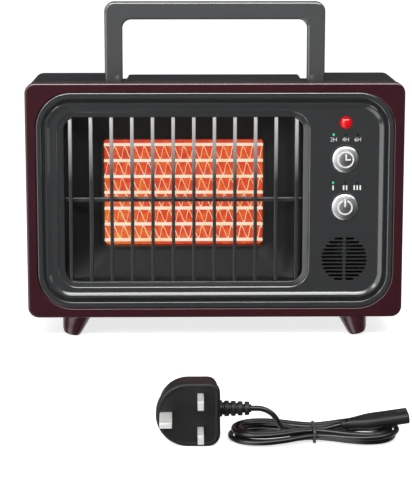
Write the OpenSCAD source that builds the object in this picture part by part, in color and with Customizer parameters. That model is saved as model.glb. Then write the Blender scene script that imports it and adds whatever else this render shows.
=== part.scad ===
// Portable ceramic fan heater with a folding handle, a timer and a detachable mains lead.
// Millimetres. X runs to the right, Y runs back from the front face, Z runs up.
// The origin is on the floor, midway between the sides and between the front and the back.

/* [Body] */
// Width of the body
body_w = 300; // [290:1:380]
// Height of the body without feet and handle
body_h = 189; // [180:1:240]
// Depth of the body from the front face to the back edge
body_d = 92; // [90:1:130]
// Radius of the body's four outer corners
body_r = 8.5; // [4:0.5:9.5]
// Wall of the bezel and of the rear housing
wall = 2.4; // [1.8:0.1:3]
// Depth that the front bezel wraps round the body
bezel_depth = 13; // [11:0.5:15]
// How far the rear housing stands back from the bezel all round
shell_step = 0.6; // [0.3:0.1:1.2]
// Height of the feet
foot_h = 17; // [14:0.5:30]
// Tilt of each foot outwards
foot_tilt = 15; // [5:1:20]
// Radius of a foot at the floor
foot_r = 7; // [5:0.5:9]
// Distance from the middle to each foot
foot_x = 112; // [90:1:120]

/* [Front panel] */
// Margin from the body's side to the opening in the bezel
opening_margin = 8.1; // [7.5:0.1:12]
// Radius of the opening's corners
opening_r = 28.5; // [20:0.5:34]
// Width of the outlet bowl at the front
bowl_w = 199.5; // [190:0.5:205]
// Height of the outlet bowl at the front
bowl_h = 141; // [128:1:144]
// Distance from the middle of the body to the middle of the outlet
outlet_x = -25; // [-28:0.5:-22]
// How far the bowl's sloped edge comes in from its mouth
bowl_edge = 4.8; // [3:0.1:6]
// Depth of the front panel's flat face behind the bezel's face
panel_depth = 2.6; // [2:0.1:4]
// Thickness of the front panel
panel_t = 2.4; // [1.8:0.1:3]

/* [Grille] */
// Number of upright blades
blade_count = 12; // [8:1:14]
// Distance from the bowl's side to the middle of the outer blades
blade_margin = 9.8; // [8:0.1:14]
// Thickness of a blade seen from the front
blade_t = 3.1; // [2:0.1:4]
// Depth of a blade
blade_d = 7; // [4:0.5:9]
// Height of the cross rail behind the blades
rail_h = 3.4; // [2:0.1:6]

/* [Heating element] */
// Width of the heating element
element_w = 129; // [110:1:131]
// Height of the heating element
element_h = 87.4; // [80:0.1:90]
// Depth of the element's face behind the bezel's face
element_depth = 34.5; // [32:0.5:38]
// Number of electrode bars
bar_count = 7; // [4:1:8]
// Height of an electrode bar
bar_h = 2.2; // [1:0.1:3]
// Number of folds in each corrugated fin
fin_folds = 16; // [8:1:20]

/* [Fan] */
// Side of the square fan frame
fan_side = 92; // [86:1:96]
// Depth of the fan
fan_d = 25; // [22:0.5:25]
// Number of impeller blades
fan_blades = 7; // [5:1:9]
// Radius of the fan's shaft
shaft_r = 1.5; // [1:0.1:2]

/* [Controls] */
// Distance from the middle of the body to the column of controls
control_x = 103.5; // [102:0.5:105]
// Radius of the two push buttons
button_r = 11; // [9:0.1:12]
// Travel of a push button
button_travel = 1.2; // [0.5:0.1:1.6]
// Radius of the domed indicator
lamp_r = 5; // [3:0.1:6]
// Radius of the round vent
vent_r = 18.3; // [14:0.1:20]

/* [Handle] */
// Width across the handle
handle_w = 174.6; // [140:0.2:190]
// Height of the handle's top above the body
handle_rise = 62.8; // [50:0.2:63.4]
// Width of a leg seen from the front
leg_w = 14.2; // [10:0.2:18]
// Thickness of the handle from front to back
handle_t = 7; // [5:0.2:8]
// Depth of the well that the folded handle lies in
well_depth = 4.8; // [3.6:0.1:5.4]
// Radius of the handle's pivot pins
pivot_r = 1.5; // [1:0.1:1.8]

/* [Mains lead] */
// Diameter of the cord
cord_d = 3.6; // [3:0.1:3.6]
// Gap between neighbouring turns of the hank
turn_gap = 0.7; // [0.55:0.05:0.9]

/* [Hidden] */
$fn = 48;

// Clearance of parts that are fitted together and stay still
fit = 0.2;
// Clearance of faces that move past each other
run = 0.4;
// Radial clearance of a shaft or pin in its bore
bore_gap = 0.05;
// Extra length of a cutting shape past a face
over = 1;

front_y = -body_d / 2;
back_y = body_d / 2;
mid_z = foot_h + body_h / 2;
top_z = foot_h + body_h;
seam_y = front_y + bezel_depth;
shell_top_z = top_z - shell_step;
shell_bottom_z = foot_h + shell_step;

// Plain helpers: every outline is drawn in X and Z and pushed along Y.
module rounded(w, h, r) {
    square([w - 2 * r, h], center = true);
    square([w, h - 2 * r], center = true);
    for (sx = [-1, 1], sz = [-1, 1])
        translate([sx * (w / 2 - r), sz * (h / 2 - r)]) circle(r);
}
module along_y(y0, y1) {
    translate([0, y1, 0]) rotate([90, 0, 0]) linear_extrude(y1 - y0) children();
}
module plate(w, h, r, y0, y1, x = 0, z = mid_z) {
    along_y(y0, y1) translate([x, z]) rounded(w, h, r);
}
module ring(w, h, r, band, y0, y1, x = 0, z = mid_z) {
    along_y(y0, y1) translate([x, z]) difference() {
        rounded(w, h, r);
        rounded(w - 2 * band, h - 2 * band, max(r - band, 0.5));
    }
}
module rod(r, y0, y1, x, z) {
    translate([x, y1, z]) rotate([90, 0, 0]) cylinder(r = r, h = y1 - y0);
}
module tube(r_out, r_in, y0, y1, x, z) {
    difference() {
        rod(r_out, y0, y1, x, z);
        rod(r_in, y0 - over, y1 + over, x, z);
    }
}
module block(x0, x1, y0, y1, z0, z1) {
    translate([x0, y0, z0]) cube([x1 - x0, y1 - y0, z1 - z0]);
}

// Bezel
lip_t = 1.8;
lip_depth = 7;
opening_w = body_w - 2 * opening_margin;
opening_h = body_h - 2 * (opening_margin - 0.6);
inside_w = body_w - 2 * wall;
inside_h = body_h - 2 * wall;
inside_r = max(body_r - wall, 1);

module front_bezel() {
    color("#42222a") difference() {
        plate(body_w, body_h, body_r, front_y, seam_y);
        plate(opening_w, opening_h, opening_r, front_y - over, seam_y + over);
        difference() {
            plate(inside_w, inside_h, inside_r, front_y + wall, seam_y + over);
            plate(opening_w + 2 * lip_t, opening_h + 2 * lip_t, opening_r + lip_t,
                front_y, front_y + lip_depth);
        }
        foot_screw_holes(foot_front_y, foot_h - over, foot_h + wall + over);
    }
}

// Handle and the well that it folds into
leg_front_y = seam_y + 1.8;
leg_back_y = leg_front_y + handle_t;
pivot_back = 1.2;
pivot_y = leg_back_y + pivot_back;
well_floor_z = shell_top_z - well_depth;
pivot_z = well_floor_z + run - pivot_back;
barrel_r = 3.2;
handle_top_z = top_z + handle_rise;
handle_out_r = 8;
handle_in_r = 7;
leg_mid_x = handle_w / 2 - leg_w / 2;
leg_in_x = handle_w / 2 - leg_w;
well_side = 0.5;
well_slope = 2.7;
swing_r = norm([pivot_y - leg_front_y, barrel_r]);
pocket_front_y = pivot_y - swing_r - run;
pocket_back_y = pivot_y + barrel_r + run;
pocket_floor_z = pivot_z - barrel_r - run;
island_back_y = pivot_y + (handle_top_z - pivot_z) - leg_w - run;
pin_reach = 3.4;

module handle_outline() {
    h = handle_top_z - pivot_z;
    difference() {
        union() {
            translate([-handle_w / 2, 0]) square([handle_w, h - handle_out_r]);
            translate([-handle_w / 2 + handle_out_r, 0]) square([handle_w - 2 * handle_out_r, h]);
            for (s = [-1, 1])
                translate([s * (handle_w / 2 - handle_out_r), h - handle_out_r]) circle(handle_out_r);
        }
        translate([-leg_in_x, -over]) square([2 * leg_in_x, h - leg_w - handle_in_r + over]);
        translate([-leg_in_x + handle_in_r, -over])
            square([2 * (leg_in_x - handle_in_r), h - leg_w + over]);
        for (s = [-1, 1])
            translate([s * (leg_in_x - handle_in_r), h - leg_w - handle_in_r]) circle(handle_in_r);
    }
}
grub_x = leg_in_x + 4.1;
grub_z = top_z + 2.9;
grub_r = 1.7;
module handle() {
    color("#4a4b4c") difference() {
        union() {
            translate([0, 0, pivot_z]) along_y(leg_front_y, leg_back_y) handle_outline();
            for (s = [-1, 1]) {
                block(s * leg_mid_x - leg_w / 2, s * leg_mid_x + leg_w / 2,
                    leg_front_y, pivot_y, pivot_z - barrel_r, pivot_z + barrel_r);
                translate([s * leg_mid_x - leg_w / 2, pivot_y, pivot_z])
                    rotate([0, 90, 0]) cylinder(r = barrel_r, h = leg_w);
            }
        }
        translate([-handle_w / 2 - over, pivot_y, pivot_z])
            rotate([0, 90, 0]) cylinder(r = pivot_r + bore_gap, h = handle_w + 2 * over);
        for (s = [-1, 1]) {
            rod(grub_r + 0.1, leg_front_y - over, leg_front_y + 1, s * grub_x, grub_z);
            rod(1, leg_front_y, leg_front_y + 5, s * grub_x, grub_z);
        }
    }
}
module handle_pins() {
    color("#b9babc") for (s = [-1, 1])
        translate([s * leg_mid_x - leg_w / 2 - pin_reach, pivot_y, pivot_z])
            rotate([0, 90, 0]) cylinder(r = pivot_r, h = leg_w + 2 * pin_reach);
}
module handle_screws() {
    color("#a9abad") for (s = [-1, 1]) {
        rod(grub_r, leg_front_y + 0.1, leg_front_y + 0.9, s * grub_x, grub_z);
        rod(0.95, leg_front_y + 0.9, leg_front_y + 4.5, s * grub_x, grub_z);
    }
}

// Rear housing
shell_w = body_w - 2 * shell_step;
shell_h = body_h - 2 * shell_step;
shell_r = body_r - shell_step;
spigot_w = inside_w - 2 * fit;
spigot_h = inside_h - 2 * fit;
spigot_r = max(inside_r - fit, 0.8);
spigot_t = 2.2;
spigot_front_y = front_y + 5;
cavity_w = shell_w - 2 * wall;
cavity_h = shell_h - 2 * wall;
well_half_w = handle_w / 2 + well_side;
pocket_wall = 4;

// The well, seen from above: two legs' channels and a channel across the back.
module well_space() {
    z1 = shell_top_z + over;
    slope_at_top = well_slope * (1 + over / well_depth);
    for (s = [-1, 1]) mirror([s < 0 ? 1 : 0, 0, 0]) {
        along_y(pocket_front_y, back_y + over)
            polygon([[leg_in_x - well_side, well_floor_z], [well_half_w, well_floor_z],
                [well_half_w, z1], [leg_in_x - well_side - slope_at_top, z1]]);
        block(leg_mid_x - leg_w / 2 - well_side, well_half_w,
            pocket_front_y, pocket_back_y, pocket_floor_z, z1);
    }
    block(-leg_in_x, leg_in_x, island_back_y, back_y + over, well_floor_z, z1);
    for (s = [-1, 1]) mirror([s < 0 ? 1 : 0, 0, 0])
        translate([leg_in_x - handle_in_r, island_back_y - handle_in_r + run, well_floor_z])
            linear_extrude(z1 - well_floor_z) difference() {
                square(handle_in_r);
                circle(handle_in_r - run);
            }
}
// Solid walls that carry the pivot pins under the well.
module pocket_walls() {
    for (s = [-1, 1])
        block(s * leg_mid_x - leg_w / 2 - pocket_wall, s * leg_mid_x + leg_w / 2 + pocket_wall,
            max(pocket_front_y - wall / 2, seam_y), pocket_back_y + wall,
            pocket_floor_z - wall, shell_top_z - 1);
}
// Floor of the well seen from inside the housing.
module well_walls() {
    block(-well_half_w - wall, well_half_w + wall, pocket_front_y, back_y,
        well_floor_z - wall, shell_top_z - 0.5);
}
cover_seat_y = back_y - 1 - panel_t;
boss_r = 4;
boss_len = 12;
boss_x = cavity_w / 2 - 5;
cover_top_z = well_floor_z - wall - fit;
cover_bottom_z = shell_bottom_z + wall + fit;
boss_z = [cover_bottom_z + 6, (cover_bottom_z + cover_top_z) / 2, cover_top_z - 6];

module rear_housing() {
    color("#2e2f30") difference() {
        union() {
            difference() {
                plate(shell_w, shell_h, shell_r, seam_y, back_y);
                plate(cavity_w, cavity_h, max(shell_r - wall, 1), seam_y - over, island_back_y - wall);
                block(-cavity_w / 2, cavity_w / 2, island_back_y - wall - over, back_y + over,
                    shell_bottom_z + wall, well_floor_z - wall);
            }
            ring(spigot_w, spigot_h, spigot_r, spigot_t, spigot_front_y, seam_y + 4);
            intersection() {
                plate(shell_w - 1, shell_h - 1, shell_r - 0.5, seam_y, back_y);
                well_walls();
            }
            pocket_walls();
            for (s = [-1, 1], z = boss_z)
                block(s * (boss_x + 2.5) - 5, s * (boss_x + 2.5) + 5, cover_seat_y - boss_len, cover_seat_y,
                    z - boss_r, z + boss_r);
        }
        well_space();
        for (s = [-1, 1]) {
            translate([s * leg_mid_x - leg_w / 2 - pin_reach - fit, pivot_y, pivot_z])
                rotate([0, 90, 0]) cylinder(r = pivot_r + 0.02, h = leg_w + 2 * pin_reach + 2 * fit);
            for (z = boss_z) rod(1.3, cover_seat_y - 9, cover_seat_y + over, s * boss_x, z);
        }
        foot_screw_holes(foot_front_y, foot_h - over, shell_bottom_z + wall + spigot_t + over);
        foot_screw_holes(foot_rear_y, foot_h - over, shell_bottom_z + wall + over);
    }
}

// Back cover with the air intake and the hole for the mains inlet
cover_y0 = back_y - 1 - panel_t;
cover_y1 = back_y - 1;
cover_w = cavity_w - 2 * fit;
cover_h = cover_top_z - cover_bottom_z;
cover_z = (cover_top_z + cover_bottom_z) / 2;
intake_rows = 13;
intake_pitch = 7.2;
intake_slot_h = 3.4;
intake_slot_w = 50;
inlet_x = 104;
inlet_z = foot_h + 36;
inlet_w = 22;
inlet_h = 14;
module back_cover() {
    color("#2b2c2d") difference() {
        plate(cover_w, cover_h, 2, cover_y0, cover_y1, 0, cover_z);
        for (i = [0:intake_rows - 1], s = [-1, 1])
            plate(intake_slot_w, intake_slot_h, 1.6, cover_y0 - over, cover_y1 + over,
                outlet_x + s * (intake_slot_w / 2 + 2),
                outlet_z + (i - (intake_rows - 1) / 2) * intake_pitch);
        for (i = [0:5])
            plate(36, 3, 1.4, cover_y0 - over, cover_y1 + over, power_x, mid_z + 20 + i * 7);
        plate(inlet_w + 2 * fit, inlet_h + 2 * fit, 2, cover_y0 - over, cover_y1 + over, inlet_x, inlet_z);
        for (s = [-1, 1], z = boss_z) rod(1.7, cover_y0 - over, cover_y1 + over, s * boss_x, z);
    }
    color("#2b2c2d") for (sx = [-1, 1], sz = [-1, 1])
        tube(3, 1, power_y + power_t, cover_y0, power_x + sx * power_post_x,
            power_board_z + sz * power_post_z);
}
module cover_screws() {
    color("#8d8f91") for (s = [-1, 1], z = boss_z) {
        rod(1.25, cover_y0 - 8, cover_y1, s * boss_x, z);
        rod(2.9, cover_y1, cover_y1 + 0.9, s * boss_x, z);
    }
}

// Feet: cones that splay outwards, cut level under the body and flat at the floor
foot_front_y = front_y + 13;
foot_rear_y = back_y - 14;
foot_taper = 15;
foot_flat = 0.6;
foot_drop = foot_r * sin(foot_tilt) - foot_flat;
foot_len = (foot_h + 4 - foot_drop) / cos(foot_tilt);
foot_end_x = foot_x + (foot_h - foot_drop) * tan(foot_tilt);
foot_top_r = foot_r + foot_len * tan(foot_taper);

module foot(side, y) {
    color("#42222a") difference() {
        intersection() {
            translate([side * foot_end_x, y, foot_drop]) rotate([0, -side * foot_tilt, 0])
                cylinder(r1 = foot_r, r2 = foot_top_r, h = foot_len);
            block(-body_w, body_w, -body_d, body_d, 0, shell_bottom_z);
        }
        plate(body_w, body_h, body_r, front_y - over, seam_y);
        translate([side * foot_x, y, foot_h - 9]) cylinder(r = 1.3, h = 12);
    }
}
module foot_front_left() { foot(-1, foot_front_y); }
module foot_front_right() { foot(1, foot_front_y); }
module foot_rear_left() { foot(-1, foot_rear_y); }
module foot_rear_right() { foot(1, foot_rear_y); }
module foot_screw_holes(y, z0, z1) {
    for (s = [-1, 1]) translate([s * foot_x, y, z0]) cylinder(r = 1.7, h = z1 - z0);
}
module foot_screws() {
    color("#8d8f91") for (s = [-1, 1]) {
        for (spot = [[foot_front_y, shell_bottom_z + wall + spigot_t - shell_step + 0.4],
                [foot_rear_y, shell_bottom_z + wall]])
            translate([s * foot_x, spot[0], spot[1]]) {
                cylinder(r = 2.9, h = 1.8);
                translate([0, 0, -10]) cylinder(r = 1.25, h = 10.5);
            }
    }
}

// Front panel: rim, groove, ridge and flat, with the outlet bowl set into it
panel_gap = 0.3;
panel_w = opening_w - 2 * panel_gap;
panel_h = opening_h - 2 * panel_gap;
panel_r = opening_r - panel_gap;
rim_w = 5;
groove_w = 5;
ridge_w = 3.2;
rim_depth = 0.8;
groove_depth = 4.4;
ridge_depth = 1.6;
flange_y = front_y + lip_depth + fit;
flange_t = 2;
flange_w = spigot_w - 2 * spigot_t - 2 * fit;
flange_h = spigot_h - 2 * spigot_t - 2 * fit;
panel_y = front_y + panel_depth;
panel_back_y = panel_y + panel_t;
groove_back_y = front_y + groove_depth + panel_t;
bowl_z = mid_z + 0.8;
bowl_r = 15;
bowl_t = 2.2;
bowl_floor_y = front_y + element_depth - 1.5;
bowl_floor_w = element_w + 4;
bowl_floor_h = element_h + 4;
bowl_floor_r = 5;
outlet_z = mid_z + 1.4;
// The bowl has a sloped edge, then a straight throat that holds the grille, then a funnel.
edge_depth = 2;
throat_depth = 13;
throat_w = bowl_w - 2 * bowl_edge;
throat_h = bowl_h - 2 * bowl_edge;
throat_r = bowl_r - bowl_edge;
throat_z = mid_z - 0.2;
slab = 0.1;

module bowl_edge_shape() {
    deeper = 1.1;
    hull() {
        plate(bowl_w, bowl_h, bowl_r, panel_y - slab, panel_y, outlet_x, bowl_z, $fn = 32);
        plate(bowl_w - 2 * bowl_edge * deeper, bowl_h - 2 * bowl_edge * deeper, throat_r,
            panel_y + edge_depth * deeper - slab, panel_y + edge_depth * deeper,
            outlet_x, throat_z, $fn = 32);
    }
}
module bowl_shape(grow, y0, y1) {
    hull() {
        plate(throat_w + 2 * grow, throat_h + 2 * grow, throat_r + grow, y0, panel_y + throat_depth,
            outlet_x, throat_z, $fn = 32);
        plate(bowl_floor_w + 2 * grow, bowl_floor_h + 2 * grow, bowl_floor_r + grow,
            y1 - slab, y1, outlet_x, outlet_z, $fn = 32);
    }
}

lamp_z = mid_z + 62.6;
timer_dot_z = mid_z + 53;
timer_text_z = mid_z + 49;
timer_z = mid_z + 33.2;
level_dot_z = mid_z + 14.5;
level_text_z = mid_z + 10.5;
power_z = mid_z - 5.2;
vent_z = mid_z - 47.3;
dot_pitch = 9.6;
dot_r = 0.9;
vent_rows = 12;
vent_pitch = 3;
vent_slot_h = 1.4;
vent_split = 2;
board_x = control_x;
board_w = 48;
board_h = 138;
board_y = panel_back_y + 13;
board_t = 1.6;
post_x = board_w / 2 - 4;
post_z = board_h / 2 - 5;
board_z = mid_z + 5;

module vent_slots() {
    for (i = [0:vent_rows - 1]) {
        dz = (i - (vent_rows - 1) / 2) * vent_pitch;
        half = sqrt(pow(vent_r, 2) - pow(dz, 2));
        for (s = [-1, 1])
            block(control_x + (s < 0 ? -half : vent_split / 2), control_x + (s < 0 ? -vent_split / 2 : half),
                panel_y - over, panel_back_y + over,
                vent_z + dz - vent_slot_h / 2, vent_z + dz + vent_slot_h / 2);
    }
}
module front_panel() {
    color("#38393a") difference() {
        union() {
            ring(panel_w, panel_h, panel_r, rim_w, front_y + rim_depth, flange_y + flange_t);
            ring(flange_w, flange_h, panel_r + 2, (flange_w - panel_w) / 2 + rim_w,
                flange_y, flange_y + flange_t);
            ring(panel_w - 2 * rim_w + 1, panel_h - 2 * rim_w + 1, panel_r - rim_w + 0.5, groove_w + 1,
                front_y + groove_depth, groove_back_y);
            ring(panel_w - 2 * (rim_w + groove_w), panel_h - 2 * (rim_w + groove_w),
                panel_r - rim_w - groove_w, ridge_w, front_y + ridge_depth, groove_back_y);
            plate(panel_w - 2 * (rim_w + groove_w + 1), panel_h - 2 * (rim_w + groove_w + 1),
                panel_r - rim_w - groove_w - 1, panel_y, panel_back_y);
            bowl_shape(bowl_t, panel_y + 0.5, bowl_floor_y);
            for (sx = [-1, 1], sz = [-1, 1])
                rod(3, panel_back_y - 0.5, board_y, board_x + sx * post_x, board_z + sz * post_z);
        }
        bowl_edge_shape();
        bowl_shape(0, panel_y - over, bowl_floor_y + 0.01);
        for (z = [timer_z, power_z])
            rod(button_r + run, panel_y - over, panel_back_y + over, control_x, z);
        rod(lamp_r + fit, panel_y - over, panel_back_y + over, control_x, lamp_z);
        for (i = [-1:1], z = [timer_dot_z, level_dot_z])
            rod(dot_r + 0.05, panel_y - over, panel_back_y + over, control_x + i * dot_pitch, z);
        for (sx = [-1, 1], sz = [-1, 1])
            rod(1, board_y - 8, board_y + over, board_x + sx * post_x, board_z + sz * post_z);
        vent_slots();
    }
}

// Grille: upright blades that end at the bowl's throat, on one cross rail
blade_y0 = panel_y + edge_depth;
blade_y1 = blade_y0 + blade_d;
blade_pitch = (bowl_w - 2 * blade_margin) / (blade_count - 1);
blade_seat = 0.2;
rail_d = 3;
function blade_x(i) = outlet_x + (i - (blade_count - 1) / 2) * blade_pitch;
// How much the throat's round corner shortens a blade at x.
function corner_cut(x) =
    let (reach = abs(x - outlet_x) + blade_t / 2 - (throat_w / 2 - throat_r))
    reach <= 0 ? 0 : throat_r - sqrt(max(pow(throat_r, 2) - pow(reach, 2), 0));
module grille_blades() {
    color("#77797b") for (i = [0:blade_count - 1]) {
        half = throat_h / 2 - corner_cut(blade_x(i)) - blade_seat;
        block(blade_x(i) - blade_t / 2, blade_x(i) + blade_t / 2, blade_y0, blade_y1,
            throat_z - half, throat_z + half);
    }
}
module grille_rail() {
    half = throat_w / 2 - blade_seat;
    color("#58595b") block(outlet_x - half, outlet_x + half, blade_y1, blade_y1 + rail_d,
        throat_z - rail_h / 2, throat_z + rail_h / 2);
}

// Push buttons: domed caps with a moulded icon, a flange behind the panel and a stem
dome_r = 32;
cap_front_y = front_y + 0.2;
flange_gap_y = panel_back_y + 0.3;
button_flange_t = 1.2;
icon_depth = 2;
switch_y = board_y - 4;
well_reach = 0.3;
stem_r = 2.5;
stem_tip_r = 1.6;
module button_dome(z) {
    translate([control_x, cap_front_y + dome_r, z]) sphere(r = dome_r, $fn = 200);
}
module button_cap(z) {
    intersection() {
        rod(button_r, cap_front_y, flange_gap_y + 0.2, control_x, z);
        button_dome(z);
    }
    rod(button_r + 1.4, flange_gap_y, flange_gap_y + button_flange_t, control_x, z);
    rod(stem_r, flange_gap_y, switch_y - button_travel - run, control_x, z);
    rod(stem_tip_r, flange_gap_y, switch_y + well_reach, control_x, z);
}
// Outlines of the two icons, drawn about their middle.
icon_r = 6.85;
icon_stroke = 1.3;
module clock_outline() {
    difference() {
        circle(icon_r);
        circle(icon_r - icon_stroke);
    }
    translate([-icon_stroke / 2 + 0.3, -0.6]) square([icon_stroke, 5]);
    translate([-icon_stroke / 2 + 0.3, -0.6]) square([4.4, icon_stroke]);
}
module power_outline() {
    difference() {
        circle(icon_r - 0.6);
        circle(icon_r - 0.6 - icon_stroke);
        translate([-1.9, 0]) square([3.8, icon_r + 1]);
    }
    translate([-icon_stroke / 2, 0.4]) square([icon_stroke, icon_r - 0.2]);
}
module timer_button() {
    color("#77787a") difference() {
        button_cap(timer_z);
        along_y(cap_front_y - over, cap_front_y + icon_depth) translate([control_x, timer_z]) clock_outline();
    }
}
module timer_icon() {
    color("#f4f4f4") intersection() {
        along_y(cap_front_y, cap_front_y + icon_depth) translate([control_x, timer_z]) clock_outline();
        button_dome(timer_z);
    }
}
module power_button() {
    color("#77787a") difference() {
        button_cap(power_z);
        along_y(cap_front_y - over, cap_front_y + icon_depth) translate([control_x, power_z]) power_outline();
    }
}
module power_icon() {
    color("#f4f4f4") intersection() {
        along_y(cap_front_y, cap_front_y + icon_depth) translate([control_x, power_z]) power_outline();
        button_dome(power_z);
    }
}

// Indicator, status lights and printing
lamp_front_y = front_y + 0.3;
module indicator_lens() {
    color("#e0101c") {
        intersection() {
            rod(lamp_r, lamp_front_y, panel_back_y + 0.4, control_x, lamp_z);
            translate([control_x, lamp_front_y + lamp_r + 1, lamp_z]) sphere(r = lamp_r + 1);
        }
        rod(lamp_r, panel_y, panel_back_y + 0.5, control_x, lamp_z);
        rod(lamp_r + 1.4, panel_back_y, panel_back_y + 1, control_x, lamp_z);
    }
}
module light_pipe(i, z) {
    rod(dot_r, panel_y - 0.15, board_y - 1.2, control_x + i * dot_pitch, z);
}
module timer_light_lit() { color("#35d39b") light_pipe(-1, timer_dot_z); }
module level_light_lit() { color("#35d39b") light_pipe(-1, level_dot_z); }
module timer_lights() {
    color("#1c2624") for (i = [0, 1]) light_pipe(i, timer_dot_z);
}
module level_lights() {
    color("#1c2624") for (i = [0, 1]) light_pipe(i, level_dot_z);
}
text_h = 3.3;
text_w = 1.75;
stroke = 0.5;
// Seven bars that make a figure, as on a clock: each entry is left, bottom, width, height.
half_text = text_h / 2;
BARS = [
    [0, text_h - stroke, text_w, stroke],
    [text_w - stroke, half_text, stroke, half_text],
    [text_w - stroke, 0, stroke, half_text],
    [0, 0, text_w, stroke],
    [0, 0, stroke, half_text],
    [0, half_text, stroke, half_text],
    [0, half_text - stroke / 2, text_w, stroke]
];
module figure_bars(bars) {
    for (b = bars) translate([BARS[b][0], BARS[b][1]]) square([BARS[b][2], BARS[b][3]]);
}
module hours_text(bars) {
    translate([-text_w - 0.3, -half_text]) figure_bars(bars);
    translate([0.4, -half_text]) figure_bars([1, 2, 4, 5, 6]);
}
bar_text_h = 4.1;
bar_text_w = 1.3;
bar_text_pitch = 2.4;
print_t = 0.12;
module panel_print() {
    figures = [[0, 1, 3, 4, 6], [1, 2, 5, 6], [0, 2, 3, 4, 5, 6]];
    color("#e8e8e8") along_y(panel_y - print_t, panel_y) {
        for (i = [0:2]) {
            x = control_x + (i - 1) * dot_pitch;
            translate([x, timer_text_z]) hours_text(figures[i]);
            for (j = [0:i])
                translate([x + (j - i / 2) * bar_text_pitch - bar_text_w / 2, level_text_z - bar_text_h / 2])
                    square([bar_text_w, bar_text_h]);
        }
    }
}

// Control board behind the panel
module control_board() {
    color("#1f5a35") difference() {
        plate(board_w, board_h, 1.5, board_y, board_y + board_t, board_x, board_z);
        for (sx = [-1, 1], sz = [-1, 1])
            rod(1.5, board_y - over, board_y + board_t + over, board_x + sx * post_x, board_z + sz * post_z);
    }
}
module board_screws() {
    color("#8d8f91") {
        for (sx = [-1, 1], sz = [-1, 1]) {
            rod(2.4, board_y + board_t, board_y + board_t + 1.6,
                board_x + sx * post_x, board_z + sz * post_z);
            rod(0.95, board_y - 7, board_y + board_t, board_x + sx * post_x, board_z + sz * post_z);
        }
        for (sx = [-1, 1], sz = [-1, 1]) {
            rod(2.4, power_y - 1.6, power_y, power_x + sx * power_post_x, power_board_z + sz * power_post_z);
            rod(0.95, power_y, power_y + power_t + 6, power_x + sx * power_post_x,
                power_board_z + sz * power_post_z);
        }
    }
}
module tact_switches() {
    color("#26272a") for (z = [timer_z, power_z]) difference() {
        plate(6, 6, 0.5, switch_y, board_y, control_x, z);
        rod(stem_tip_r + run, switch_y - over, switch_y + well_reach + button_travel + run, control_x, z);
    }
}
module indicator_led() {
    color("#ff5a50") {
        rod(2.4, panel_back_y + 2, board_y - 4, control_x, lamp_z);
        plate(4, 4, 0.4, board_y - 4, board_y, control_x, lamp_z);
        for (i = [-1:1], z = [timer_dot_z, level_dot_z])
            plate(3, 2.2, 0.3, board_y - 1.2, board_y, control_x + i * dot_pitch, z);
    }
}
module infrared_receiver() {
    color("#17181a") plate(5, 6, 0.6, board_y - 5, board_y, control_x + 9, lamp_z);
}
module buzzer() {
    color("#17181a") tube(6, 1, board_y - 8, board_y, control_x, vent_z + 8);
}

// Heating element in its frame
element_y = front_y + element_depth;
bar_pitch = (element_h - 8.8) / (bar_count - 1);
bar_d = 5;
ceramic_y = element_y + bar_d + 0.2;
ceramic_t = 7;
frame_y0 = bowl_floor_y + 0.1;
frame_y1 = ceramic_y + ceramic_t + 1;
frame_w = element_w + 14;
frame_h = element_h + 14;
function bar_z(i) = outlet_z + (i - (bar_count - 1) / 2) * bar_pitch;
module element_frame() {
    color("#202122") {
        ring(frame_w, frame_h, 3, 6.8, frame_y0, frame_y1, outlet_x, outlet_z);
        for (s = [-1, 1])
            block(outlet_x + s * (element_w / 2 + 3) - 3, outlet_x + s * (element_w / 2 + 3) + 3,
                frame_y1 - 1, frame_y1, outlet_z - 40, outlet_z + 40);
    }
}
module electrode_bars() {
    color("#ffe9a8") for (i = [0:bar_count - 1])
        block(outlet_x - element_w / 2, outlet_x + element_w / 2, element_y, element_y + bar_d,
            bar_z(i) - bar_h / 2, bar_z(i) + bar_h / 2);
}
fin_t = 0.5;
fin_d = bar_d - 0.6;
// One corrugated strip between two bars: its centre line goes up and down, fin_folds times.
module fin_outline(h) {
    step = element_w / (2 * fin_folds);
    n = 2 * fin_folds;
    up = [for (i = [0:n]) [i * step, i % 2 == 0 ? 0 : h - fin_t]];
    polygon(concat(up, [for (i = [n:-1:0]) [up[i][0], up[i][1] + fin_t]]));
}
module heater_fins() {
    gap = 0.1;
    color("#ff9a3c") for (i = [0:bar_count - 2])
        translate([outlet_x - element_w / 2, 0, bar_z(i) + bar_h / 2 + gap])
            along_y(element_y + 0.3, element_y + 0.3 + fin_d) fin_outline(bar_pitch - bar_h - 2 * gap);
}
module ceramic_panel() {
    color("#f04a24") plate(element_w, element_h, 2.5, ceramic_y, ceramic_y + ceramic_t, outlet_x, outlet_z);
}
module element_terminals() {
    color("#c9c4b0") for (s = [-1, 1])
        block(outlet_x + element_w / 2 - 9, outlet_x + element_w / 2 - 3, ceramic_y + ceramic_t,
            frame_y1 + 7, outlet_z + s * 18 - 0.4, outlet_z + s * 18 + 0.4);
}

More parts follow.
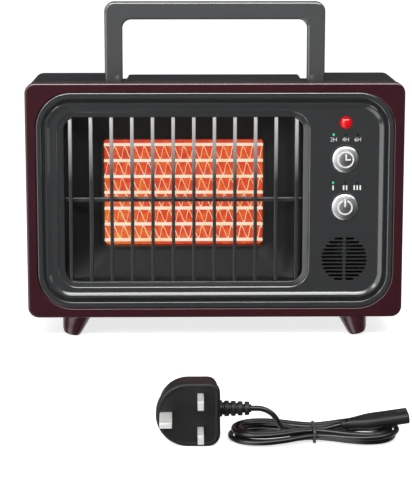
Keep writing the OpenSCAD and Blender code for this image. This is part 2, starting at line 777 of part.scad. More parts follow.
// Air duct between the element and the fan
duct_y0 = frame_y1;
duct_len = 9;
duct_back_y = duct_y0 + duct_len;
fan_y0 = duct_back_y + 2;
fan_y1 = fan_y0 + fan_d;
fan_bore_r = fan_side / 2 - 2;
fan_hole = fan_side / 2 - 4.75;
module air_duct() {
    color("#26272a") difference() {
        plate(frame_w, frame_h, 3, duct_y0, fan_y0, outlet_x, outlet_z);
        plate(frame_w - 14, frame_h - 14, 2, duct_y0 - over, duct_back_y, outlet_x, outlet_z);
        rod(fan_bore_r, duct_y0, fan_y0 + over, outlet_x, outlet_z);
        for (sx = [-1, 1], sz = [-1, 1])
            rod(1.4, duct_back_y - 6, fan_y0 + over, outlet_x + sx * fan_hole, outlet_z + sz * fan_hole);
        plate(12, 30, 2, duct_y0 - over, duct_y0 + 4, outlet_x + frame_w / 2 - 5, outlet_z + 18);
        plate(12, 30, 2, duct_y0 - over, duct_y0 + 4, outlet_x + frame_w / 2 - 5, outlet_z - 18);
    }
}
module thermal_cutout() {
    color("#c8c9cb") {
        translate([outlet_x + 20, duct_y0 + 5, outlet_z + frame_h / 2]) cylinder(r = 4.4, h = 6);
        for (s = [-1, 1])
            block(outlet_x + 20 + s * 7 - 2, outlet_x + 20 + s * 7 + 2, duct_y0 + 3, duct_y0 + 7,
                outlet_z + frame_h / 2, outlet_z + frame_h / 2 + 1);
        block(outlet_x + 13, outlet_x + 27, duct_y0 + 4.4, duct_y0 + 5.6, outlet_z + frame_h / 2 + 0.5,
            outlet_z + frame_h / 2 + 2);
    }
}

// Fan: frame, motor and impeller on one shaft
hub_r = 18;
cup_t = 1.8;
blade_tip_r = fan_bore_r - 1.5;
bearing_r = 4;
tube_t = 1;
base_t = 3;
hub_y0 = fan_y0 + 3;
hub_y1 = fan_y1 - base_t - 1.4;
stator_r = 13.2;
magnet_r = hub_r - cup_t;
tube_y0 = hub_y0 + cup_t + 3;
fan_base_y = fan_y1 - base_t;
module fan_frame() {
    color("#1d1e20") {
        difference() {
            plate(fan_side, fan_side, 4, fan_y0, fan_y1, outlet_x, outlet_z);
            rod(fan_bore_r, fan_y0 - over, fan_y1 + over, outlet_x, outlet_z);
            for (sx = [-1, 1], sz = [-1, 1])
                rod(2.1, fan_y0 - over, fan_y1 + over, outlet_x + sx * fan_hole, outlet_z + sz * fan_hole);
        }
        difference() {
            union() {
                rod(hub_r - 1, fan_base_y, fan_y1, outlet_x, outlet_z);
                for (a = [45:90:315])
                    translate([outlet_x, 0, outlet_z]) rotate([0, a, 0])
                        block(hub_r - 3, fan_bore_r + 1, fan_base_y, fan_y1, -2.5, 2.5);
                rod(bearing_r + tube_t, tube_y0, fan_base_y + 1, outlet_x, outlet_z);
            }
            rod(bearing_r, tube_y0 - over, fan_y1 - 1, outlet_x, outlet_z);
        }
    }
}
module fan_impeller() {
    color("#3a3b3d") translate([outlet_x, hub_y1, outlet_z]) rotate([90, 0, 0]) {
        depth = hub_y1 - hub_y0;
        difference() {
            cylinder(r = hub_r, h = depth);
            translate([0, 0, -over]) cylinder(r = magnet_r, h = depth - cup_t + over);
            translate([0, 0, -over]) cylinder(r = shaft_r, h = depth + 2 * over);
        }
        for (i = [0:fan_blades - 1]) rotate([0, 0, i * 360 / fan_blades])
            intersection() {
                translate([0, 0, depth / 2]) rotate([38, 0, 0])
                    translate([hub_r - 1, -11, -0.8]) cube([blade_tip_r, 22, 1.6]);
                difference() {
                    cylinder(r = blade_tip_r, h = depth);
                    translate([0, 0, -over]) cylinder(r = hub_r - 0.6, h = depth + 2 * over);
                }
            }
    }
}
module fan_magnet() {
    color("#55504c") tube(magnet_r, magnet_r - 1.8, hub_y0 + cup_t + 0.5, hub_y1, outlet_x, outlet_z);
}
module fan_shaft() {
    color("#c8c9cb") rod(shaft_r, hub_y0, fan_y1 - 1.4, outlet_x, outlet_z);
}
module fan_bearings() {
    color("#b9935a") for (y = [tube_y0 + 0.4, fan_base_y - 3.6])
        tube(bearing_r - 0.02, shaft_r + bore_gap, y, y + 4, outlet_x, outlet_z);
}
module fan_stator() {
    color("#8a4b2c") tube(stator_r, bearing_r + tube_t + 0.05, tube_y0 + 0.6, fan_base_y, outlet_x, outlet_z);
}
module fan_screws() {
    color("#8d8f91") for (sx = [-1, 1], sz = [-1, 1]) {
        x = outlet_x + sx * fan_hole;
        z = outlet_z + sz * fan_hole;
        rod(1.35, duct_back_y - 5, fan_y1, x, z);
        rod(3, fan_y1, fan_y1 + 1.8, x, z);
    }
}

// Power board on the back cover's posts, with its parts
power_x = 94;
power_w = 60;
power_h = 84;
power_board_z = mid_z - 0.5;
power_y = cover_y0 - 10;
power_t = 1.6;
power_post_x = power_w / 2 - 4;
power_post_z = power_h / 2 - 4;
module power_board() {
    color("#2b6a3c") difference() {
        plate(power_w, power_h, 1.5, power_y, power_y + power_t, power_x, power_board_z);
        for (sx = [-1, 1], sz = [-1, 1])
            rod(1.3, power_y - over, power_y + power_t + over, power_x + sx * power_post_x,
                power_board_z + sz * power_post_z);
    }
}
module board_parts() {
    color("#c9a227") {
        block(power_x - 24, power_x - 5, power_y - 15, power_y, power_board_z + 10, power_board_z + 26);
        block(power_x + 2, power_x + 21, power_y - 15, power_y, power_board_z + 10, power_board_z + 26);
        block(power_x - 24, power_x + 2, power_y - 20, power_y, power_board_z - 28, power_board_z - 6);
        for (x = [8, 19]) rod(4.5, power_y - 16, power_y, power_x + x, power_board_z - 10);
        block(power_x + 6, power_x + 24, power_y - 9, power_y, power_board_z - 34, power_board_z - 26);
        block(power_x - 22, power_x - 4, power_y - 9, power_y, power_board_z + 30, power_board_z + 37);
    }
}
tip_x = 60;
tip_floor_z = shell_bottom_z + wall;
module tip_over_switch() {
    color("#e6e2d6") {
        block(tip_x - 12, tip_x + 12, back_y - 30, back_y - 14, tip_floor_z, tip_floor_z + 14);
        block(tip_x - 5, tip_x + 5, back_y - 26, back_y - 18, tip_floor_z + 14, tip_floor_z + 17);
    }
}

// Mains inlet: a shrouded two-pin socket that opens at the back
inlet_y1 = cover_y1 + 0.8;
inlet_len = 18;
recess_len = 12.5;
pin_gap = 8.6;
contact_r = 1.18;
module inlet_recess(y0, y1) {
    along_y(y0, y1) translate([inlet_x, inlet_z]) {
        for (s = [-1, 1]) translate([s * pin_gap / 2, 0]) circle(connector_t / 2 + run);
        square([pin_gap, connector_t + 2 * run], center = true);
    }
}
module inlet_socket() {
    color("#141516") difference() {
        union() {
            plate(inlet_w, inlet_h, 1.8, inlet_y1 - inlet_len, inlet_y1, inlet_x, inlet_z);
            plate(inlet_w + 5, inlet_h + 5, 2.5, cover_y1, inlet_y1, inlet_x, inlet_z);
            plate(inlet_w + 4, inlet_h + 3, 1, cover_y0 - 2.2, cover_y0 - 0.1, inlet_x, inlet_z);
        }
        inlet_recess(inlet_y1 - recess_len, inlet_y1 + over);
        for (s = [-1, 1])
            rod(contact_r, inlet_y1 - inlet_len - over, inlet_y1, inlet_x + s * pin_gap / 2, inlet_z);
    }
}
module inlet_pins() {
    color("#d2d3d5") for (s = [-1, 1])
        rod(contact_r, inlet_y1 - inlet_len - 5, inlet_y1 - 3, inlet_x + s * pin_gap / 2, inlet_z);
}

// Wiring that stays inside the housing
wire_r = 1.1;
wire_step = 5;
inlet_wire_y = inlet_y1 - inlet_len - 5;
terminal_x = outlet_x + element_w / 2 - 3;
notch_y = duct_y0 + 2;
module inner_wires() {
    color("#a03028") for (s = [-1, 1]) {
        inlet_wire_x = inlet_x + s * pin_gap / 2;
        block_x = power_x + 15 + s * wire_step;
        swept_tube([[inlet_wire_x, inlet_wire_y, inlet_z],
            [inlet_wire_x, inlet_wire_y - 5, inlet_z],
            [block_x, power_y - 17, power_board_z - 36],
            [block_x, power_y - 14, power_board_z - 30],
            [block_x, power_y - 9, power_board_z - 30]], wire_r, 6);
        heat_x = power_x - 13 + s * wire_step;
        swept_tube([[terminal_x, notch_y, outlet_z + s * 18],
            [outlet_x + frame_w / 2 + 6, notch_y, outlet_z + s * 18],
            [heat_x, power_y - 21, power_board_z + 33],
            [heat_x, power_y - 9, power_board_z + 33]], wire_r, 6);
    }
}
module ribbon_cable() {
    y0 = board_y + board_t;
    color("#d8d8d8") {
        block(control_x - 6, control_x + 6, y0, y0 + 6, board_z - 3, board_z + 3);
        block(control_x - 5, control_x + 5, y0 + 6, power_y - 3.2, board_z - 0.5, board_z + 0.5);
        block(control_x - 6, control_x + 6, power_y - 3.2, power_y, board_z - 3, board_z + 3);
    }
}

// Mains lead, lying on the floor in front of the heater.
// lead_x and lead_y are the middle of the hank's waist; the plug lies to its left.
lead_x = 59;
lead_y = -312;
cord_r = cord_d / 2;
step_out = cord_d + turn_gap;
hank_a = 43.5;
hank_a3 = 3;
hank_b3 = 6.75;
waist_half = step_out / 4;
layer_z = [cord_r + 0.9, cord_r + 0.9 + cord_d + turn_gap];
turns = 4;
rings_per_turn = 24;
hank_end = 5;

// Hank: angle round the loop, evened out so that rings crowd at the folds.
function loop_angle(u) = 360 * u - 90 - 10 * sin(2 * (360 * u - 90));
function loop_point(t) = [
    hank_a * cos(t) + hank_a3 * cos(3 * t),
    waist_half + (waist_half + hank_b3) * sin(t) + hank_b3 * sin(3 * t)
];
function loop_way(t) = [
    -hank_a * sin(t) - 3 * hank_a3 * sin(3 * t),
    (waist_half + hank_b3) * cos(t) + 3 * hank_b3 * cos(3 * t)
];
function unit(v) = v / norm(v);
function ease(s) = let (c = min(max(s, 0), 1)) c * c * (3 - 2 * c);
// Spiral out over two turns, climb a layer along the run, and spiral in again.
function spread(u) = step_out * (u < turns / 2 ? u : turns - u);
function climb(u) = layer_z[0] + (layer_z[1] - layer_z[0]) * ease((u - 1.75) / 0.5);
function hank_point(u) =
    let (t = loop_angle(u), way = unit(loop_way(t)), p = loop_point(t) + spread(u) * [way[1], -way[0]])
    [p[0], p[1], climb(u)];
hank_path = concat(
    [[-hank_end, 0, layer_z[0]]],
    [for (i = [0:turns * rings_per_turn]) hank_point(i / rings_per_turn)],
    [[hank_end, 0, layer_z[1]]]
);

// A tube round a path: each ring stands square to the way between its neighbours.
function tube_ring(path, i, r, sides) =
    let (w = i == 0 ? unit(path[1] - path[0])
            : i == len(path) - 1 ? unit(path[i] - path[i - 1])
            : unit(unit(path[i + 1] - path[i]) + unit(path[i] - path[i - 1])),
        side = unit(cross([0, 0, 1], w)), up = cross(w, side))
    [for (k = [0:sides - 1]) path[i] + r * (cos(360 * k / sides) * side + sin(360 * k / sides) * up)];
module swept_tube(path, r, sides) {
    n = len(path);
    points = [for (i = [0:n - 1]) each tube_ring(path, i, r, sides)];
    walls = [for (i = [0:n - 2], k = [0:sides - 1])
        let (a = i * sides + k, b = i * sides + (k + 1) % sides)
        each [[a, a + sides, b], [b, a + sides, b + sides]]];
    caps = [for (k = [1:sides - 2])
        each [[0, k, k + 1], [(n - 1) * sides, (n - 1) * sides + k + 1, (n - 1) * sides + k]]];
    polyhedron(points = points, faces = concat(walls, caps), convexity = 10);
}
// Least gap of the hank to itself, measured between points along its path.
function spaced(path, parts) = [for (i = [0:len(path) - 2], k = [0:parts - 1])
    path[i] + (path[i + 1] - path[i]) * k / parts];
function least_gap(points, skip) = min([for (i = [0:len(points) - 1 - skip], j = [i + skip:len(points) - 1])
    norm(points[i] - points[j])]) - cord_d;
module cord_hank() {
    echo(hank_gap = least_gap(spaced(hank_path, 4), 20));
    color("#141414") translate([lead_x, lead_y, 0]) swept_tube(hank_path, cord_r, 6);
}

// Plug: it stands on its rim, its face and three flat pins to the front, its cord towards the hank
plug_mid_x = lead_x - 81.5;
plug_half = 20.5;
plug_round = 21;
plug_h = 25;
plug_rim = 9;
plug_inset = 1.6;
plug_corner = 8;
// Distance from the plug's back to the middle of its cord
plug_exit_back = 9.8;
plug_exit_z = plug_round;
plug_back_y = lead_y + plug_exit_back;
// Outline of the plug: round at the earth pin's end, square with round corners at the cord's end.
module plug_outline(inset) {
    end_x = plug_half - inset;
    side = plug_round - inset;
    intersection() {
        circle(side, $fn = 96);
        translate([-side, -side]) square([side + end_x, 2 * side]);
    }
    translate([0, plug_corner - side]) square([end_x, 2 * (side - plug_corner)]);
    translate([0, -side]) square([end_x - plug_corner, 2 * side]);
    for (s = [-1, 1]) translate([end_x - plug_corner, s * (side - plug_corner)]) circle(plug_corner);
}
pin_spread = 22.2;
earth_x = -14.4;
live_x = earth_x + pin_spread;
blade_pin = [4, 6.35, 17.7];
earth_pin = [8, 4, 22.7];
pin_root = 6;
// Turns a form drawn on its back, pins up, to stand on the plug's rim with the pins to the front.
module upright() {
    translate([plug_mid_x, plug_back_y, plug_round]) rotate([90, 0, 0]) children();
}
module mains_plug() {
    color("#1b1b1c") upright() difference() {
        union() {
            translate([0, 0, plug_h - plug_rim]) linear_extrude(plug_rim) plug_outline(0);
            linear_extrude(plug_h - plug_rim + over) plug_outline(plug_inset);
        }
        plug_pin_shapes(0);
    }
}
module plug_pin_shapes(up) {
    for (s = [-1, 1])
        translate([live_x - blade_pin[0] / 2, s * pin_spread / 2 - blade_pin[1] / 2, plug_h - pin_root])
            cube([blade_pin[0], blade_pin[1], pin_root + (up > 0 ? blade_pin[2] : over)]);
    translate([earth_x - earth_pin[0] / 2, -earth_pin[1] / 2, plug_h - pin_root])
        cube([earth_pin[0], earth_pin[1], pin_root + (up > 0 ? earth_pin[2] : over)]);
}
module plug_pins() {
    color("#e2e2df") upright() plug_pin_shapes(1);
}
relief_len = 22;
relief_r = [5.4, 4.2];
relief_ribs = 5;
relief_x0 = plug_mid_x + plug_half - plug_inset;
module plug_relief() {
    color("#161617") translate([relief_x0, lead_y, plug_exit_z]) rotate([0, 90, 0]) {
        cylinder(r1 = relief_r[0] - 1, r2 = relief_r[1] - 0.8, h = relief_len);
        for (i = [0:relief_ribs - 1]) translate([0, 0, i * relief_len / relief_ribs])
            cylinder(r = relief_r[0] + (relief_r[1] - relief_r[0]) * i / relief_ribs,
                h = relief_len / relief_ribs * 0.62);
    }
}
// Route of the cord from the strain relief to the hank, about the hank's middle: it leaves level,
// comes down in two bends of one radius, and runs level into the hank.
drop_r = 15;
land_x = -9.5;
drop_steps = 8;
drop_turn = acos(1 - (plug_exit_z - layer_z[0]) / (2 * drop_r));
drop_x = land_x - 2 * drop_r * sin(drop_turn);
function bend_in(a) = [drop_x + drop_r * sin(a), 0, plug_exit_z - drop_r * (1 - cos(a))];
function bend_out(a) = [land_x - drop_r * sin(a), 0, layer_z[0] + drop_r * (1 - cos(a))];
plug_route = concat(
    [[relief_x0 + relief_len - lead_x, 0, plug_exit_z]],
    [for (i = [0:drop_steps]) bend_in(drop_turn * i / drop_steps)],
    [for (i = [drop_steps - 1:-1:0]) bend_out(drop_turn * i / drop_steps)],
    [[-hank_end - 2, 0, layer_z[0]], [-hank_end, 0, layer_z[0]]]
);
module cord_plug_end() {
    color("#141414") translate([lead_x, lead_y, 0]) swept_tube(plug_route, cord_r, 8);
}
// Route of the cord from the hank up to the appliance connector.
connector_route = [
    [5, 0, 7], [7, 0, 7], [9, 0, 7.35], [11, 0, 7.9], [12.8, 0, 8.4], [14.6, 0, 8.9], [16.2, 0, 9.3],
    [17.9, 0, 9.54]
];
module cord_connector_end() {
    color("#141414") translate([lead_x, lead_y, 0]) swept_tube(connector_route, cord_r, 8);
}
tie_w = 1.6;
tie_t = 0.7;
tie_in_w = 2 * (2 * step_out + cord_r) + 0.9;
tie_in_h = layer_z[1] + cord_r + 0.3 - tie_t;
tie_corner = cord_r + run;
module cord_tie() {
    color("#2a2a2b") translate([lead_x - tie_w / 2, lead_y, 0])
        rotate([90, 0, 90]) linear_extrude(tie_w)
            translate([0, tie_t + tie_in_h / 2]) difference() {
                rounded(tie_in_w + 2 * tie_t, tie_in_h + 2 * tie_t, tie_corner + tie_t);
                rounded(tie_in_w, tie_in_h, tie_corner);
            }
}

// Appliance connector with a slotted neck and two bores
connector_z = 9.6;
connector_tilt = 8;
connector_x0 = lead_x + 18;
neck_len = 14;
connector_len = 30;
connector_t = 7.6;
neck_ribs = 4;
socket_len = 13;
module appliance_connector() {
    x1 = neck_len;
    x2 = x1 + connector_len;
    color("#1b1b1c") translate([connector_x0, lead_y, connector_z]) rotate([0, -connector_tilt, 0])
        difference() {
            union() {
                for (i = [0:neck_ribs - 1])
                    translate([i * neck_len / neck_ribs, 0, 0]) rotate([90, 0, 90])
                        linear_extrude(neck_len / neck_ribs * 0.66) rounded(8 + i, 7.2, 2.6);
                rotate([90, 0, 90]) linear_extrude(neck_len + 1) rounded(6.4, 5.6, 2.2);
                translate([x1, 0, 0]) rotate([90, 0, 90]) linear_extrude(connector_len) {
                    for (s = [-1, 1]) translate([s * pin_gap / 2, 0]) circle(connector_t / 2);
                    square([pin_gap, connector_t], center = true);
                }
            }
            for (s = [-1, 1])
                translate([x2 - socket_len, s * pin_gap / 2, 0]) rotate([0, 90, 0])
                    cylinder(r = contact_r + fit, h = socket_len + over);
            translate([x2 - 8, -1.2, connector_t / 2 - 0.9]) cube([9, 2.4, 2]);
        }
}

front_bezel();
rear_housing();
back_cover();
front_panel();
grille_blades();
grille_rail();
foot_front_left();
foot_front_right();
foot_rear_left();
foot_rear_right();
foot_screws();
handle();
handle_pins();
handle_screws();
timer_button();
timer_icon();
power_button();
power_icon();
indicator_lens();
timer_lights();
timer_light_lit();
level_lights();
level_light_lit();
panel_print();
control_board();
tact_switches();
indicator_led();
infrared_receiver();
buzzer();
board_screws();
ribbon_cable();
element_frame();
electrode_bars();
heater_fins();
ceramic_panel();
element_terminals();
thermal_cutout();
air_duct();
fan_frame();
fan_impeller();
fan_magnet();
fan_shaft();
fan_bearings();
fan_stator();
fan_screws();
power_board();
board_parts();
tip_over_switch();
inlet_socket();
inlet_pins();
inner_wires();
cover_screws();
mains_plug();
plug_pins();
plug_relief();
cord_plug_end();
cord_hank();
cord_tie();
cord_connector_end();
appliance_connector();
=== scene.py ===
"""Portable ceramic fan heater with a folding handle and a detachable lead: its finishes and visible meshes.

Sizes are in millimetres in the classes below, and become metres where a mesh is made.
X runs to the right, Y runs back from the front face, Z runs up, and the origin is on the floor.
"""

import logging
import math
from dataclasses import dataclass, field
from enum import Enum

import bmesh
import bpy
from mathutils import Matrix, Vector


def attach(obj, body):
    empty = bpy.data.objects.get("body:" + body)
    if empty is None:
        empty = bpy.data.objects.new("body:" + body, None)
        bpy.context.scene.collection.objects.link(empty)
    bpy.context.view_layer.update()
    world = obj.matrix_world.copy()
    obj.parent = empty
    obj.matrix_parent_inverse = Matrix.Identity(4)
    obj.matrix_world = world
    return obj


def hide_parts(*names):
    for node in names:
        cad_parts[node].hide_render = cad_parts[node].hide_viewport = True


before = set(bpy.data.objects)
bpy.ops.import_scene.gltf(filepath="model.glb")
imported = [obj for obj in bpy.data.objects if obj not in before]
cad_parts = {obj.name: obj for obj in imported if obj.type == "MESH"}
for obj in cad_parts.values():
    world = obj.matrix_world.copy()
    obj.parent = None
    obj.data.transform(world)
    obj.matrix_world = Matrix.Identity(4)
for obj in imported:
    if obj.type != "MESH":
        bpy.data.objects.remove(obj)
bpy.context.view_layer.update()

LOG = logging.getLogger("heater")
MM = 0.001
# The body's front and back, the seam behind its bezel, its middle height and the height of the feet.
FRONT_Y = -46.0
BACK_Y = 46.0
SEAM_Y = -33.0
MID_Z = 111.5
FOOT_H = 17.0
# Points nearer than SAME_MM are one, and faces within FLAT_DEGREES are one flat. An edge is crisp past
# CRISP_DEGREES, and past BROKEN_DEGREES a mould or a tool would have broken it.
SAME_MM = 0.0005
WELD_MM = 0.002
FLAT_DEGREES = 0.6
CRISP_DEGREES = 34.0
BROKEN_DEGREES = 40.0

Point = tuple[float, float, float]
Flat = tuple[float, float]


class Axis(Enum):
    """Direction that a turned or drawn form runs along."""
    X = "x"
    Y = "y"
    Z = "z"


def linear(hex_code: str, alpha: float = 1.0) -> tuple[float, float, float, float]:
    """Turn an sRGB hex colour into linear RGBA.

    Args:
        hex_code: Colour such as "#42222a".
        alpha: Opacity that goes with it.

    Returns:
        Linear red, green, blue and the alpha.
    """
    parts = [int(hex_code[i:i + 2], 16) / 255 for i in (1, 3, 5)]
    red, green, blue = (c / 12.92 if c <= 0.04045 else ((c + 0.055) / 1.055) ** 2.4 for c in parts)
    return red, green, blue, alpha


def add_node(tree: bpy.types.NodeTree, kind: str, inputs: dict | None = None, **settings) -> bpy.types.Node:
    """Add a shader node with its settings and links.

    Args:
        tree: Node tree that takes the node.
        kind: Blender's name of the node type.
        inputs: Input name or number, to a value or to the output that feeds it.
        **settings: Properties of the node itself.

    Returns:
        The new node.
    """
    node = tree.nodes.new(kind)
    for name, value in settings.items():
        setattr(node, name, value)
    for name, value in (inputs or {}).items():
        if isinstance(value, bpy.types.NodeSocket):
            tree.links.new(value, node.inputs[name])
        else:
            node.inputs[name].default_value = value
    return node


def add_ramp(tree: bpy.types.NodeTree, source: bpy.types.NodeSocket,
             stops: list[tuple[float, str | float]]) -> bpy.types.NodeSocket:
    """Add a colour ramp.

    Args:
        tree: Node tree that takes the ramp.
        source: Output that drives it, from 0 to 1.
        stops: Places from 0 to 1 with their sRGB hex colours, or with plain linear levels.

    Returns:
        The ramp's colour output.
    """
    ramp = add_node(tree, "ShaderNodeValToRGB", {"Fac": source})
    points = ramp.color_ramp.elements
    while len(points) < len(stops):
        points.new(0.5)
    for point, (place, colour) in zip(points, stops):
        point.position = place
        point.color = linear(colour) if isinstance(colour, str) else (colour, colour, colour, 1.0)
    return ramp.outputs["Color"]


@dataclass(frozen=True)
class Finish:
    """A surface: its colour, its gloss and the texture that the mould or tool left on it.

    Attributes:
        name: Name of the material.
        colour: Main colour.
        drift: Colour that it drifts to in large soft patches.
        roughness: Roughness of the surface.
        grain_mm: Size of the texture's grain.
        grain_depth_mm: Height of the grain.
        ior: Index of refraction.
        metallic: 1 for bare metal.
        specular: Strength of the dielectric reflection, 0.5 as written by the IOR.
        coat: Weight of a clear lacquer or a polished skin.
        coat_roughness: Roughness of that skin.
        drift_mm: Size of the soft patches.
        stretch: How much the grain is drawn out along X, Y and Z.
    """
    name: str
    colour: str
    drift: str
    roughness: float
    grain_mm: float = 0.8
    grain_depth_mm: float = 0.008
    ior: float = 1.5
    metallic: float = 0.0
    specular: float = 0.5
    coat: float = 0.0
    coat_roughness: float = 0.12
    drift_mm: float = 40.0
    stretch: Point = (1.0, 1.0, 1.0)

    def material(self) -> bpy.types.Material:
        """Make the material, or return it if it is made already.

        Returns:
            The material.
        """
        found = bpy.data.materials.get(self.name)
        if found:
            return found
        made = bpy.data.materials.new(self.name)
        made.use_nodes = True
        tree = made.node_tree
        tree.nodes.clear()
        place = add_node(tree, "ShaderNodeTexCoord").outputs["Object"]
        shader = self.shader(tree, place)
        add_node(tree, "ShaderNodeOutputMaterial", {"Surface": shader})
        return made

    def shader(self, tree: bpy.types.NodeTree, place: bpy.types.NodeSocket) -> bpy.types.NodeSocket:
        """Build the surface shader.

        Args:
            tree: Node tree of the material.
            place: Coordinates on the object, in metres.

        Returns:
            The shader's output.
        """
        surface = add_node(tree, "ShaderNodeBsdfPrincipled", {
            "Base Color": self.body_colour(tree, place),
            "Roughness": self.worn_roughness(tree, place),
            "Normal": self.grain(tree, place),
            "IOR": self.ior,
            "Metallic": self.metallic,
            "Specular IOR Level": self.specular,
            "Coat Weight": self.coat_weight(tree, place),
            "Coat Roughness": self.coat_roughness,
        })
        return surface.outputs["BSDF"]

    def body_colour(self, tree: bpy.types.NodeTree, place: bpy.types.NodeSocket) -> bpy.types.NodeSocket:
        """Give the colour, which drifts a little as in any moulding.

        Args:
            tree: Node tree of the material.
            place: Coordinates on the object, in metres.

        Returns:
            The colour's output.
        """
        noise = add_node(tree, "ShaderNodeTexNoise", {
            "Vector": place, "Scale": 1 / (self.drift_mm * MM), "Detail": 4.0, "Roughness": 0.6})
        return add_ramp(tree, noise.outputs["Fac"], [(0.32, self.drift), (0.62, self.colour)])

    def worn_roughness(self, tree: bpy.types.NodeTree, place: bpy.types.NodeSocket) -> bpy.types.NodeSocket:
        """Give the roughness, a little higher in small handled patches.

        Args:
            tree: Node tree of the material.
            place: Coordinates on the object, in metres.

        Returns:
            The roughness's output.
        """
        noise = add_node(tree, "ShaderNodeTexNoise", {
            "Vector": place, "Scale": 3 / (self.drift_mm * MM), "Detail": 6.0})
        spread = add_node(tree, "ShaderNodeMapRange", {
            "Value": noise.outputs["Fac"], "From Min": 0.3, "From Max": 0.7,
            "To Min": self.roughness * 0.9, "To Max": min(self.roughness * 1.12, 1.0)})
        return spread.outputs["Result"]

    def coat_weight(self, tree: bpy.types.NodeTree,
                    place: bpy.types.NodeSocket) -> float | bpy.types.NodeSocket:
        """Give the weight of the polished skin, the same all over unless a finish says otherwise.

        Args:
            tree: Node tree of the material.
            place: Coordinates on the object, in metres.

        Returns:
            The weight, or the output that gives it.
        """
        return self.coat

    def grain(self, tree: bpy.types.NodeTree, place: bpy.types.NodeSocket) -> bpy.types.NodeSocket:
        """Give the normal with the texture's grain in it.

        Args:
            tree: Node tree of the material.
            place: Coordinates on the object, in metres.

        Returns:
            The normal's output.
        """
        drawn = add_node(tree, "ShaderNodeMapping",
                         {"Vector": place, "Scale": tuple(1 / s for s in self.stretch)})
        noise = add_node(tree, "ShaderNodeTexNoise", {
            "Vector": drawn.outputs["Vector"], "Scale": 1 / (self.grain_mm * MM), "Detail": 2.0})
        bump = add_node(tree, "ShaderNodeBump", {
            "Height": noise.outputs["Fac"], "Distance": self.grain_depth_mm * MM, "Strength": 1.0})
        return bump.outputs["Normal"]


@dataclass(frozen=True)
class PaintedReflectionMetal(Finish):
    """Sprayed silver with a painted reflection: a painted highlight at the top, and painted shade down the
    height of the piece.

    Attributes:
        low: Colour of the painted shade at the bottom of the fade.
        fade_from: Height in millimetres where the fade starts.
        fade_to: Height in millimetres where the full colour is reached.
    """
    low: str = "#2d2e2f"
    fade_from: float = 100.0
    fade_to: float = 176.0

    def body_colour(self, tree: bpy.types.NodeTree, place: bpy.types.NodeSocket) -> bpy.types.NodeSocket:
        """Give the colour, which runs from painted shade to a painted highlight with height.

        Args:
            tree: Node tree of the material.
            place: Coordinates on the object, in metres.

        Returns:
            The colour's output.
        """
        parts = add_node(tree, "ShaderNodeSeparateXYZ", {"Vector": place})
        height = add_node(tree, "ShaderNodeMapRange", {
            "Value": parts.outputs["Z"], "From Min": self.fade_from * MM, "From Max": self.fade_to * MM})
        # Painted reflection: dark low down for the floor, bright at the top for the lamps above.
        return add_ramp(tree, height.outputs["Result"],
                        [(0.0, self.low), (0.35, self.low), (0.62, self.drift), (1.0, self.colour)])


@dataclass(frozen=True)
class PaintedShadeMoulding(Finish):
    """A surface darkened with painted shade behind its polished face, and duller there.

    Attributes:
        deep: Colour of the painted shade behind the face.
        deep_roughness: Roughness behind the face.
        deep_from: Depth in millimetres where it starts to darken.
        deep_to: Depth in millimetres from which it is darkest.
    """
    deep: str = "#222324"
    deep_roughness: float = 0.55
    deep_from: float = -42.0
    deep_to: float = -34.0

    def body_colour(self, tree: bpy.types.NodeTree, place: bpy.types.NodeSocket) -> bpy.types.NodeSocket:
        """Give the colour, darkened with depth as painted shade."""
        # Painted shade: the colour darkens behind the face, into the hollows.
        return add_ramp(tree, self.by_depth(tree, place, 0.0, 1.0), [(0.0, self.colour), (1.0, self.deep)])

    def worn_roughness(self, tree: bpy.types.NodeTree, place: bpy.types.NodeSocket) -> bpy.types.NodeSocket:
        """Give the roughness, which rises with depth.

        Args:
            tree: Node tree of the material.
            place: Coordinates on the object, in metres.

        Returns:
            The roughness's output.
        """
        face = super().worn_roughness(tree, place)
        behind = self.by_depth(tree, place, 0.0, self.deep_roughness)
        return add_node(tree, "ShaderNodeMath", {0: face, 1: behind}, operation="MAXIMUM").outputs["Value"]

    def coat_weight(self, tree: bpy.types.NodeTree, place: bpy.types.NodeSocket) -> bpy.types.NodeSocket:
        """Give the weight of the polished skin, which ends behind the face."""
        return self.by_depth(tree, place, self.coat, 0.0)

    def by_depth(self, tree: bpy.types.NodeTree, place: bpy.types.NodeSocket, face: float,
                 behind: float) -> bpy.types.NodeSocket:
        """Run from one value to another with depth.

        Args:
            tree: Node tree of the material.
            place: Coordinates on the object, in metres.
            face: Value on the face.
            behind: Value behind the face.

        Returns:
            The value's output.
        """
        parts = add_node(tree, "ShaderNodeSeparateXYZ", {"Vector": place})
        depth = add_node(tree, "ShaderNodeMapRange", {
            "Value": parts.outputs["Y"], "From Min": self.deep_from * MM, "From Max": self.deep_to * MM,
            "To Min": face, "To Max": behind})
        return depth.outputs["Result"]


